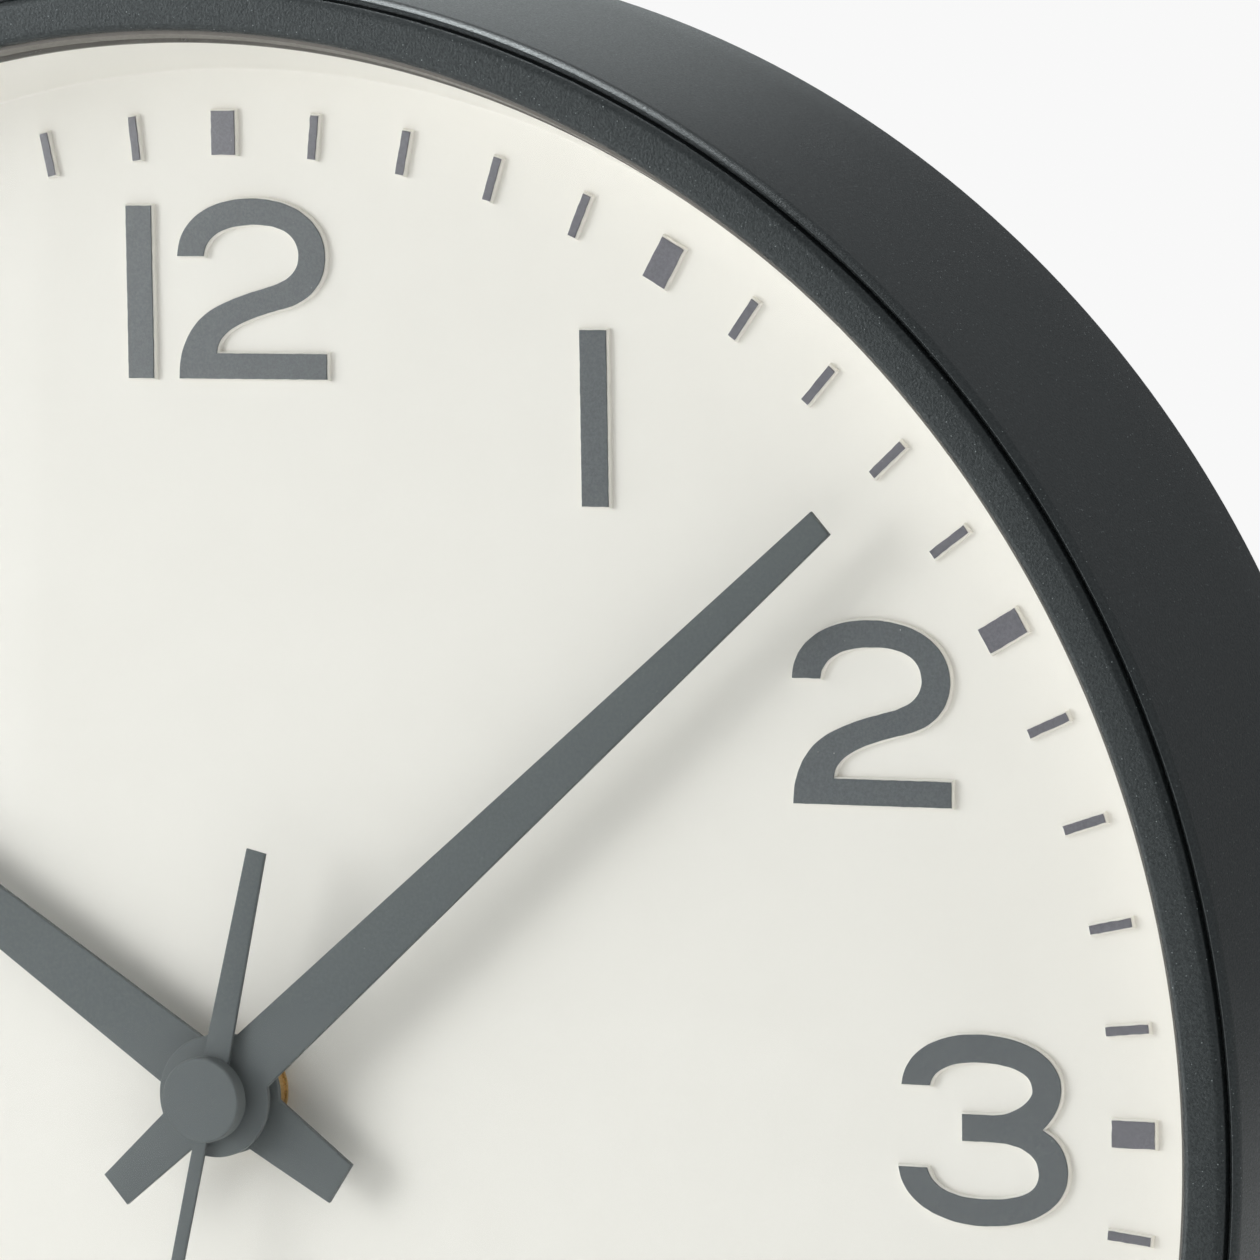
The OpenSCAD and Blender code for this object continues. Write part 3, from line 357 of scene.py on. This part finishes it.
class Look:
    """A Principled material with procedural colour, roughness and bump in the piece's own coordinates."""

    def __init__(self, name, color, roughness, metallic=0.0, specular=0.5):
        self.material = bpy.data.materials.new(name)
        self.material.use_nodes = True
        self.nodes = self.material.node_tree.nodes
        self.links = self.material.node_tree.links
        self.shader = self.nodes["Principled BSDF"]
        self.set("Base Color", (*color, 1))
        self.set("Roughness", roughness)
        self.set("Metallic", metallic)
        self.set("Specular IOR Level", specular)
        self.color = (*color, 1)
        self.coords = self.node("ShaderNodeTexCoord").outputs["Object"]
        self.normal = None

    def set(self, socket, value):
        self.shader.inputs[socket].default_value = value

    def node(self, kind, **settings):
        """Adds a node and sets its sockets and properties by name."""
        made = self.nodes.new(kind)
        for key, value in settings.items():
            if key in made.inputs:
                made.inputs[key].default_value = value
            else:
                setattr(made, key, value)
        return made

    def link(self, source, target):
        self.links.new(source, target)

    def noise(self, size, detail=2.0, rough=0.5, stretch=None):
        """Noise whose blotches are about size metres across."""
        made = self.node("ShaderNodeTexNoise", Scale=1 / size, Detail=detail, Roughness=rough)
        vector = self.coords
        if stretch:
            mapping = self.node("ShaderNodeMapping")
            mapping.inputs["Scale"].default_value = stretch
            self.link(vector, mapping.inputs["Vector"])
            vector = mapping.outputs["Vector"]
        self.link(vector, made.inputs["Vector"])
        return made.outputs["Fac"]

    def ranged(self, source, low, high, to_low, to_high):
        """Maps low to high onto to_low to to_high and holds what is outside."""
        made = self.node("ShaderNodeMapRange")
        for socket, value in zip(("From Min", "From Max", "To Min", "To Max"), (low, high, to_low, to_high)):
            made.inputs[socket].default_value = value
        self.link(source, made.inputs["Value"])
        return made.outputs["Result"]

    def mottle(self, factor, other):
        """Mixes another colour into the base colour by factor."""
        made = self.node("ShaderNodeMix", data_type="RGBA")
        existing = self.shader.inputs["Base Color"]
        if existing.is_linked:
            self.link(existing.links[0].from_socket, made.inputs["A"])
        else:
            made.inputs["A"].default_value = self.color
        made.inputs["B"].default_value = (*other, 1)
        self.link(factor, made.inputs["Factor"])
        self.link(made.outputs["Result"], existing)

    def rough(self, factor, low, high):
        """Varies the roughness between low and high with a noise factor."""
        self.link(self.ranged(factor, 0.3, 0.7, low, high), self.shader.inputs["Roughness"])

    def bump(self, height, depth):
        """Raises the surface by height times depth metres."""
        made = self.node("ShaderNodeBump", Strength=1, Distance=depth)
        self.link(height, made.inputs["Height"])
        if self.normal:
            self.link(self.normal, made.inputs["Normal"])
        self.normal = made.outputs["Normal"]
        self.link(self.normal, self.shader.inputs["Normal"])

    def specks(self, cell, size):
        """1 inside sparse dots of the given radius, one to a cell of that width at most."""
        cells = self.node("ShaderNodeTexVoronoi", Scale=1 / cell)
        self.link(self.coords, cells.inputs["Vector"])
        near = self.ranged(cells.outputs["Distance"], size / cell, 0.5 * size / cell, 0, 1)
        split = self.node("ShaderNodeSeparateColor")
        self.link(cells.outputs["Color"], split.inputs["Color"])
        some = self.ranged(split.outputs["Red"], 0.45, 1.0, 0, 1)
        both = self.node("ShaderNodeMath", operation="MULTIPLY")
        self.link(near, both.inputs[0])
        self.link(some, both.inputs[1])
        return both.outputs["Value"]


def charcoal_paint():
    """Fine-grained matt charcoal coating with painted glints: sparse bright specks in its colour."""
    look = Look("charcoal_paint", (0.0074, 0.0092, 0.0097), 0.385, specular=0.5)
    look.set("Specular Tint", (0.90, 1.0, 1.02, 1))
    look.mottle(look.ranged(look.noise(0.35 * MM, 3), 0.4, 0.7, 0, 0.8), (0.0150, 0.0172, 0.0178))
    # Painted glints: bright specks in the colour stand for the sparkle of the coating's grains in the light
    look.mottle(look.specks(0.55 * MM, 0.085 * MM), (0.22, 0.25, 0.25))
    look.rough(look.noise(0.25 * MM, 2), 0.335, 0.435)
    grain = look.noise(0.27 * MM, 3, 0.6)
    look.link(look.ranged(grain, 0.3, 0.7, 0.36, 0.64), look.shader.inputs["Specular IOR Level"])
    look.bump(grain, 0.05 * MM)
    return look.material


def cream_moulding():
    """Matt, very slightly blotched moulded plastic."""
    look = Look("cream_moulding", (0.854, 0.829, 0.782), 0.62, specular=0.3)
    look.mottle(look.ranged(look.noise(14 * MM, 3), 0.4, 0.7, 0, 0.5), (0.834, 0.808, 0.760))
    look.mottle(look.specks(3.5 * MM, 0.1 * MM), (0.62, 0.60, 0.55))
    look.rough(look.noise(1.2 * MM), 0.58, 0.66)
    look.bump(look.noise(0.35 * MM, 2), 0.006 * MM)
    return look.material


def foil(name, color, other):
    """Hot-stamped foil: a little sheen, a fine grain and a few bare flecks."""
    look = Look(name, color, 0.33, specular=1.0)
    look.mottle(look.ranged(look.noise(0.3 * MM, 3, 0.65), 0.35, 0.68, 0, 1), other)
    look.mottle(look.specks(1.6 * MM, 0.09 * MM), (0.45, 0.45, 0.44))
    look.rough(look.noise(0.6 * MM), 0.29, 0.38)
    look.bump(look.noise(0.3 * MM, 3), 0.01 * MM)
    return look.material


def hand_lacquer():
    """Matt grey lacquer on sheet metal."""
    look = Look("hand_lacquer", (0.108, 0.122, 0.126), 0.6, specular=0.3)
    look.mottle(look.ranged(look.noise(0.4 * MM, 3, 0.6), 0.4, 0.7, 0, 0.6), (0.136, 0.15, 0.152))
    look.mottle(look.specks(2.2 * MM, 0.07 * MM), (0.3, 0.32, 0.32))
    look.rough(look.noise(0.5 * MM), 0.54, 0.66)
    look.bump(look.noise(0.2 * MM, 2), 0.008 * MM)
    return look.material


def clear_acrylic():
    """A clear coated pane: what is behind shows straight through, and a faint reflection lies over it."""
    look = Look("clear_acrylic", (1, 1, 1), 0.03)
    clear = look.node("ShaderNodeBsdfTransparent")
    clear.inputs["Color"].default_value = (0.988, 0.993, 0.99, 1)
    gloss = look.node("ShaderNodeBsdfGlossy", Roughness=0.03)
    slant = look.node("ShaderNodeLayerWeight", Blend=0.5)
    steep = look.node("ShaderNodeMath", operation="POWER")
    steep.inputs[1].default_value = 5
    look.link(slant.outputs["Facing"], steep.inputs[0])
    mixed = look.node("ShaderNodeMixShader")
    look.link(look.ranged(steep.outputs["Value"], 0, 1, 0.004, 0.9), mixed.inputs["Fac"])
    look.link(clear.outputs["BSDF"], mixed.inputs[1])
    look.link(gloss.outputs["BSDF"], mixed.inputs[2])
    look.link(mixed.outputs["Shader"], look.nodes["Material Output"].inputs["Surface"])
    look.nodes.remove(look.shader)
    return look.material


def rubber(name, color, other, roughness):
    """Dull, slightly uneven rubber."""
    look = Look(name, color, roughness, specular=0.35)
    look.mottle(look.ranged(look.noise(0.8 * MM, 3), 0.35, 0.7, 0, 0.7), other)
    look.rough(look.noise(0.5 * MM), roughness - 0.06, roughness + 0.06)
    look.bump(look.noise(0.3 * MM), 0.01 * MM)
    return look.material


def moulded(name, color, other, roughness, grain=0.35 * MM, depth=0.02 * MM):
    """Spark-textured plastic."""
    look = Look(name, color, roughness, specular=0.45)
    look.mottle(look.ranged(look.noise(6 * MM, 3), 0.35, 0.7, 0, 0.6), other)
    look.rough(look.noise(0.7 * MM), roughness - 0.07, roughness + 0.07)
    look.bump(look.noise(grain, 3, 0.6), depth)
    return look.material


def metal(name, color, other, roughness, stretch=(1, 1, 1)):
    """Plated or turned metal with fine tool marks, closer together along axes with a larger stretch."""
    look = Look(name, color, roughness, metallic=1.0)
    look.mottle(look.ranged(look.noise(2.5 * MM, 3), 0.3, 0.75, 0, 0.8), other)
    marks = look.noise(0.25 * MM, 2, 0.5, stretch)
    look.rough(marks, roughness - 0.08, roughness + 0.1)
    look.bump(marks, 0.003 * MM)
    return look.material


def wound_wire():
    """Enamelled wire wound side by side round an upright bobbin, with painted shade between its turns."""
    look = Look("copper_wire", (0.60, 0.21, 0.07), 0.32, metallic=0.9)
    turns = look.node("ShaderNodeTexWave", Scale=1 / (2 * math.pi * 0.02 * MM), Distortion=0.6)
    turns.bands_direction = "Z"
    look.link(look.coords, turns.inputs["Vector"])
    # Painted shade: the copper darkens towards the valleys between the turns, where the bump sinks
    look.mottle(look.ranged(turns.outputs["Fac"], 0.2, 0.9, 0.6, 0), (0.30, 0.08, 0.03))
    look.bump(turns.outputs["Fac"], 0.03 * MM)
    return look.material


def solder_mask():
    """A green board with slightly lighter tracks under its lacquer."""
    look = Look("green_board", (0.018, 0.11, 0.045), 0.32, specular=0.5)
    tracks = look.node("ShaderNodeTexVoronoi", Scale=1 / (3.2 * MM))
    tracks.feature = "DISTANCE_TO_EDGE"
    tracks.distance = "MANHATTAN"
    look.link(look.coords, tracks.inputs["Vector"])
    raised = look.ranged(tracks.outputs["Distance"], 0.06, 0.1, 1, 0)
    look.mottle(raised, (0.03, 0.17, 0.07))
    look.bump(raised, 0.02 * MM)
    look.rough(look.noise(1 * MM), 0.26, 0.38)
    return look.material


def cell_sleeve():
    """A plain sleeve: dark blue-grey, a pale band by the positive end, bright metal at both ends."""
    low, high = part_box("battery")
    look = Look("cell_sleeve", (0.045, 0.075, 0.11), 0.28, specular=0.6)
    split = look.node("ShaderNodeSeparateXYZ")
    look.link(look.coords, split.inputs["Vector"])
    along = split.outputs["X"]
    blur = 0.05 * MM
    band_start = high.x - 13 * MM
    positive_start = high.x - 1.3 * MM
    negative_end = low.x + 0.4 * MM
    look.mottle(look.ranged(along, band_start, band_start + blur, 0, 1), (0.52, 0.50, 0.44))
    positive = look.ranged(along, positive_start, positive_start + blur, 0, 1)
    negative = look.ranged(along, negative_end + blur, negative_end, 0, 1)
    ends = look.node("ShaderNodeMath", operation="MAXIMUM")
    look.link(positive, ends.inputs[0])
    look.link(negative, ends.inputs[1])
    look.mottle(ends.outputs["Value"], (0.62, 0.62, 0.60))
    look.link(ends.outputs["Value"], look.shader.inputs["Metallic"])
    look.bump(look.noise(3 * MM), 0.02 * MM)
    return look.material


LOOKS = {
    "charcoal_shell": charcoal_paint(),
    "clear_lens": clear_acrylic(),
    "taupe_gasket": rubber("taupe_rubber", (0.162, 0.153, 0.137), (0.140, 0.131, 0.116), 0.5),
    "cream_dial": cream_moulding(),
    "grey_print": foil("numeral_foil", (0.050, 0.060, 0.067), (0.083, 0.096, 0.103)),
    "hand_lacquer": hand_lacquer(),
    "brass": metal("turned_brass", (0.78, 0.54, 0.24), (0.70, 0.46, 0.19), 0.28, stretch=(1, 6, 1)),
    "black_rubber": rubber("black_rubber", (0.018, 0.018, 0.019), (0.03, 0.03, 0.03), 0.7),
    "movement_plastic": moulded("movement_plastic", (0.022, 0.024, 0.027), (0.03, 0.032, 0.035), 0.5),
    "zinc_steel": metal("zinc_plate", (0.62, 0.63, 0.65), (0.52, 0.54, 0.58), 0.3),
    "spring_steel": metal("nickel_spring", (0.68, 0.66, 0.62), (0.6, 0.58, 0.54), 0.24, stretch=(0.2, 1, 1)),
    "soft_iron": metal("soft_iron", (0.33, 0.34, 0.36), (0.26, 0.27, 0.29), 0.5),
    "white_acetal": moulded("white_acetal", (0.76, 0.75, 0.70), (0.72, 0.71, 0.66), 0.4, depth=0.005 * MM),
    "copper_wire": wound_wire(),
    "green_board": solder_mask(),
    "black_epoxy": moulded("black_epoxy", (0.010, 0.010, 0.012), (0.016, 0.016, 0.018), 0.22, 2 * MM),
    "battery_wrap": cell_sleeve(),
    "cover_plastic": moulded(
        "cover_plastic", (0.034, 0.037, 0.039), (0.042, 0.045, 0.047), 0.55, 0.5 * MM, 0.05 * MM
    ),
}
MARK_FOIL = foil("mark_foil", (0.092, 0.091, 0.110), (0.136, 0.133, 0.158))
NODE_SLOT = {part["node"]: part["material_slot"] for part in frame["record"]["subparts"]}
BODY = {node: body for body, nodes in frame["record"]["behaviour"]["bodies"].items() for node in nodes}


def standing_for(piece, node, material=None):
    """Gives a new piece a CAD node's place, body, slot and finish."""
    piece.data.materials.append(material or LOOKS[NODE_SLOT[node]])
    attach(piece, BODY[node])
    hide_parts(node)


# ---- the case and what closes its front ----

def drum():
    """The outer shell: drafted wall, round front lip, a step that closes the groove, ledge and bosses."""
    fillet = 1.4 * MM
    nose = 2 * MM
    nose_h = RIM_H - 1.5 * MM
    bead = 0.15 * MM
    step_r = SKIRT_R + 0.03 * MM
    step_h = RIM_H - 0.8 * MM
    step_t = 0.7 * MM
    slope = DRAFT / (RIM_H - fillet)
    chamfer_h = LEDGE_H - LEDGE_T - 2.2 * MM
    mouth = 0.3 * MM
    profile = [(CASE_R - WALL + mouth, 0)]
    profile += arc(CASE_R - fillet, fillet, fillet, -90, 0, 8)
    # Rings along the straight wall keep the shading of the fillet and the lip off it
    profile += [(CASE_R - slope * (h * MM - fillet), h * MM) for h in (8, 16, 24, 32, 39)]
    profile += arc(FRONT_R - nose, nose_h, nose, 2, 46, 18)
    profile += arc(SEAT_R + bead, RIM_H - bead, bead, 75, 180, 5)
    profile += [(SEAT_R, step_h), (step_r, step_h - 0.05 * MM)]
    profile += [(step_r, step_h - step_t), (SEAT_R, step_h - step_t - 0.4 * MM)]
    profile += [(SEAT_R, LEDGE_H), (LEDGE_R, LEDGE_H), (LEDGE_R, LEDGE_H - LEDGE_T)]
    profile += [(CASE_R - WALL - slope * chamfer_h, chamfer_h), (CASE_R - WALL, mouth)]
    bm = bmesh.new()
    add_lathe(bm, profile)
    hole_r = 1.3 * MM
    boss_top_h = 30 * MM
    boss = [(hole_r, COVER_FRONT_H), (BOSS_R, COVER_FRONT_H), (BOSS_R, boss_top_h), (hole_r, boss_top_h)]
    for i in range(BOSS_COUNT):
        t = math.radians(60 - 360 * i / BOSS_COUNT)
        add_lathe(bm, boss, 32, (BOSS_CIRCLE_R * math.sin(t), BOSS_CIRCLE_R * math.cos(t)))
    standing_for(finished(bm, "drum"), "case")


def bezel_ring():
    """The ring set into the drum: a skirt, a flange that falls away to the groove, and crush ribs."""
    skirt_end_h = FRONT_H - 0.95 * MM
    crown = 1.7 * MM
    crown_r = SKIRT_R - 1.25 * MM
    inner = 0.9 * MM
    profile = [(SKIRT_R - SKIRT_T, BEZEL_BACK_H), (SKIRT_R, BEZEL_BACK_H)]
    profile += [(SKIRT_R, skirt_end_h), (SKIRT_R - 0.15 * MM, FRONT_H - 0.5 * MM)]
    profile += arc(crown_r, FRONT_H - crown, crown, 53, 90, 10)
    profile += arc(FLANGE_IN_R + inner, FRONT_H - inner, inner, 90, 180, 10)
    profile += [(FLANGE_IN_R, FLANGE_H), (SKIRT_R - SKIRT_T, FLANGE_H)]
    bm = bmesh.new()
    add_lathe(bm, profile)
    rib_half = 1.5 * MM
    rib_low = (-rib_half, SKIRT_R - 1 * MM, BEZEL_BACK_H)
    rib_high = (rib_half, SEAT_R - 0.03 * MM, BEZEL_BACK_H + 2 * MM)
    for i in range(RIB_COUNT):
        add_box(bm, rib_low, rib_high, math.radians(15 + 360 * i / RIB_COUNT))
    standing_for(finished(bm, "bezel_ring"), "bezel")


def gasket_ring():
    """The channel seal whose sloping inner face shows between the bezel and the dial's rim."""
    outer = SKIRT_R - SKIRT_T
    slope = (FLANGE_IN_R - DIAL_RIM_R) / (FRONT_H - DIAL_RIM_H)

    def inner(h):
        return DIAL_RIM_R + slope * (h - DIAL_RIM_H)

    profile = [(DIAL_RIM_R, DIAL_RIM_H), (outer, DIAL_RIM_H), (outer, FLANGE_H), (inner(FLANGE_H), FLANGE_H)]
    profile += [(inner(LENS_FRONT_H), LENS_FRONT_H), (LENS_R, LENS_FRONT_H), (LENS_R, LENS_H)]
    profile += [(inner(LENS_H), LENS_H)]
    standing_for(lathe("gasket_ring", profile), "lens_gasket")


def lens_disc():
    """The flat pane, held in the gasket's channel."""
    edge = 0.15 * MM
    profile = [(0, LENS_H), (LENS_R - edge, LENS_H), (LENS_R, LENS_H + edge)]
    profile += [(LENS_R, LENS_FRONT_H - edge), (LENS_R - edge, LENS_FRONT_H), (0, LENS_FRONT_H)]
    standing_for(lathe("lens_disc", profile, smooth=20), "lens")


# ---- dial ----

def dial_moulding():
    """A shallow tray with every figure and mark standing up from it as a block with eased edges."""
    flank = 1.5 * MM
    lip = 0.2 * MM
    fillet = 0.3 * MM
    mouth = 0.1 * MM
    profile = [(BORE_R, DIAL_BACK_H), (DIAL_FLAT_R + flank, DIAL_BACK_H)]
    profile += [(DIAL_RIM_R + flank, LEDGE_H), (DIAL_OUT_R, LEDGE_H)]
    profile += [(DIAL_OUT_R, DIAL_RIM_H), (DIAL_RIM_R + lip, DIAL_RIM_H)]
    lean = math.atan2(DIAL_RIM_R - DIAL_FLAT_R, DIAL_RIM_H - DIAL_H)
    reach = fillet * math.tan((math.pi / 2 - lean) / 2)
    lean_degrees = math.degrees(lean)
    profile += arc(DIAL_RIM_R + lip, DIAL_RIM_H - lip, lip, 110, 180 - lean_degrees, 4)
    profile += arc(DIAL_FLAT_R - reach, DIAL_H + fillet, fillet, -lean_degrees, -90, 8)
    # Two rings on the flat keep the fillet's shading off it
    profile += [(DIAL_FLAT_R - 12 * MM, DIAL_H), (60 * MM, DIAL_H)]
    profile += [(BORE_R + mouth, DIAL_H), (BORE_R, DIAL_H - mouth)]
    bm = bmesh.new()
    add_lathe(bm, profile)
    block_draft = 0.05 * MM
    sunk_h = DIAL_H - 0.2 * MM
    section = [(PRINT_MARGIN + 1.2 * block_draft, sunk_h), (PRINT_MARGIN + block_draft, DIAL_H)]
    section += rounded_edge(PRINT_MARGIN, PRINT_BACK_H, 0.12 * MM, (0, 30, 60, 90))
    for node in ("numeral_print", "minute_mark_print"):
        for loops in grouped(smooth_outlines(node)):
            add_plate(bm, loops, section)
    standing_for(finished(bm, "dial_moulding", 40), "dial")


def stamped(name, node, material, waver):
    """The foil on top of the blocks, with slightly wavering edges."""
    ease = 0.04 * MM
    grain = 0.9 * MM
    section = [(0, PRINT_BACK_H), (0, PRINT_H - ease), (-ease, PRINT_H)]
    bm = bmesh.new()
    for loops in grouped(smooth_outlines(node)):
        add_plate(bm, [roughened(p, waver, grain) for p in loops], section)
    standing_for(finished(bm, name, 30), node, material)


# ---- hands ----

def stamped_hand(name, node):
    """A stamped hand: its front edges are rolled over and its back edges are nearly square."""
    low, high = back(node), front(node)
    ease = 0.05 * MM
    roll = 0.16 * MM
    section = [(-ease, low), (0, low + ease)]
    section += rounded_edge(0, high, roll, (0, 22, 45, 67, 90))
    bm = bmesh.new()
    for loops in grouped(smooth_outlines(node, 20)):
        add_plate(bm, loops, section)
    standing_for(finished(bm, name, 50), node)


def hub_cap():
    """The low round cap that closes the second hand's tube."""
    ease = 0.3 * MM
    chamfer = 0.1 * MM
    bore_r = 1.1 * MM
    bore_end_h = CAP_FRONT_H - 0.4 * MM
    profile = [(bore_r, CAP_H), (CAP_R - chamfer, CAP_H), (CAP_R, CAP_H + chamfer)]
    profile += arc(CAP_R - ease, CAP_FRONT_H - ease, ease, 0, 90, 8)
    profile += [(0, CAP_FRONT_H), (0, bore_end_h), (bore_r, bore_end_h)]
    standing_for(lathe("hub_cap", profile, 128), "second_hand_cap")


# ---- the larger of the remaining CAD nodes: the same shapes with eased edges ----

# Widths of their edges in millimetres
EASED = {
    "rear_cover": 0.3, "hanger_plate": 0.15, "movement_back": 0.25, "movement_front": 0.25,
    "setting_knob": 0.12, "battery_positive_contact": 0.08, "wall_pads": 0.3, "fixing_nut": 0.12,
    "dial_washer": 0.08, "circuit_board": 0.1,
}


def eased(node, width):
    """A CAD node's own shape with its sharp edges rounded by width."""
    bm = bmesh.new()
    bm.from_mesh(frame["nodes"][node].data)
    bmesh.ops.remove_doubles(bm, verts=bm.verts, dist=SAME)
    bmesh.ops.dissolve_limit(bm, angle_limit=math.radians(0.5), verts=bm.verts, edges=bm.edges)
    least = math.radians(32)
    sharp = [e for e in bm.edges if len(e.link_faces) == 2 and e.calc_face_angle(0) > least]
    bmesh.ops.bevel(
        bm, geom=sharp, offset=width, offset_type="OFFSET", segments=2, profile=0.5,
        affect="EDGES", clamp_overlap=True, miter_outer="ARC", miter_inner="SHARP",
    )
    standing_for(finished(bm, node + "_eased", 25), node)


def build():
    """Makes every piece, then gives the CAD nodes their finishes."""
    drum()
    bezel_ring()
    gasket_ring()
    lens_disc()
    dial_moulding()
    stamped("numeral_foil", "numeral_print", LOOKS["grey_print"], 0.04 * MM)
    stamped("mark_foil", "minute_mark_print", MARK_FOIL, 0.06 * MM)
    for hand in ("hour_hand", "minute_hand", "second_hand"):
        stamped_hand(hand + "_plate", hand)
    hub_cap()
    for node, width in EASED.items():
        eased(node, width * MM)
    for node, piece in frame["nodes"].items():
        piece.data.materials.clear()
        piece.data.materials.append(LOOKS[NODE_SLOT[node]])


# ---- studio ----

def softbox(name, azimuth, elevation, distance, size, power, color=(1, 1, 1)):
    """A soft light aimed at the dial; azimuth is 0 ahead of the dial and 90 to its right."""
    target = Vector((0.02, 0, 0.02))
    light = bpy.data.lights.new(name, "AREA")
    light.shape = "RECTANGLE"
    light.size, light.size_y = size
    light.energy = power
    light.color = color
    a, e = math.radians(azimuth), math.radians(elevation)
    toward = Vector((math.sin(a) * math.cos(e), -math.cos(a) * math.cos(e), math.sin(e)))
    lamp = bpy.data.objects.new(name, light)
    lamp.location = target + toward * distance
    lamp.rotation_euler = (-toward).to_track_quat("-Z", "Y").to_euler()
    bpy.context.scene.collection.objects.link(lamp)


def world():
    """Near-white to the camera, and a dimmer room for everything that it lights."""
    made = bpy.data.worlds.new("room")
    bpy.context.scene.world = made
    made.use_nodes = True
    nodes, links = made.node_tree.nodes, made.node_tree.links
    room = nodes["Background"]
    room.inputs["Color"].default_value = (0.96, 0.98, 1.0, 1)
    room.inputs["Strength"].default_value = 0.25
    paper = nodes.new("ShaderNodeBackground")
    paper.inputs["Color"].default_value = (1, 1, 1, 1)
    paper.inputs["Strength"].default_value = 0.94
    path = nodes.new("ShaderNodeLightPath")
    mix = nodes.new("ShaderNodeMixShader")
    links.new(path.outputs["Is Camera Ray"], mix.inputs["Fac"])
    links.new(room.outputs["Background"], mix.inputs[1])
    links.new(paper.outputs["Background"], mix.inputs[2])
    links.new(mix.outputs["Shader"], nodes["World Output"].inputs["Surface"])


def floor():
    """A pale round floor just below the clock."""
    gap = 2 * MM
    bm = bmesh.new()
    bmesh.ops.create_circle(bm, cap_ends=True, radius=1.1, segments=96)
    piece = finished(bm, "floor")
    piece.location = (0, 0, cad_bounds[0].z - gap)
    look = Look("pale_floor", (0.86, 0.86, 0.85), 0.8)
    look.mottle(look.noise(120 * MM, 2), (0.84, 0.84, 0.83))
    piece.data.materials.append(look.material)


def lights():
    """The key stands left, fills in front and right, one light above and the rim light behind the drum."""
    # name, azimuth, elevation, distance, size, power and, for the rim, colour
    softbox("key", -60, 12, 1.35, (0.95, 0.95), 7.2)
    softbox("key_edge", -42.5, 10, 1.1, (0.5, 0.6), 3.3)
    softbox("upper_left", -32, 42, 1.3, (0.8, 0.8), 1.2)
    softbox("front_fill", -8, 52, 1.5, (1.1, 1.1), 0.7)
    softbox("right_fill", 80, 15, 1.6, (2.4, 2.4), 6)
    softbox("overhead", -100, 84, 1.3, (0.5, 0.5), 19)
    softbox("rim", -155.5, 15, 1.5, (0.62, 0.9), 1.6, (0.92, 1.0, 1.0))


def camera():
    """Looks at the upper right of the dial from the right and a little above."""
    azimuth, elevation, roll = (math.radians(a) for a in (24.8927, 4.7806, -0.8657))
    distance = 0.87402
    looked_at = Vector((0.05031, -0.028, 0.05415))
    back_way = Vector((
        math.sin(azimuth) * math.cos(elevation),
        -math.cos(azimuth) * math.cos(elevation),
        math.sin(elevation),
    ))
    right = (-back_way).cross(Vector((0, 0, 1))).normalized()
    up = right.cross(-back_way)
    side = math.cos(roll) * right + math.sin(roll) * up
    top = -math.sin(roll) * right + math.cos(roll) * up
    lens = bpy.data.cameras.new("camera")
    lens.lens = 223.03
    lens.sensor_width = 36
    lens.clip_start = 0.01
    eye = bpy.data.objects.new("camera", lens)
    eye.matrix_world = Matrix.Translation(looked_at + back_way * distance) @ Matrix(
        (side, top, back_way)
    ).transposed().to_4x4()
    bpy.context.scene.collection.objects.link(eye)
    bpy.context.scene.camera = eye


build()
floor()
world()
lights()
camera()
bpy.context.scene.view_settings.view_transform = "Standard"
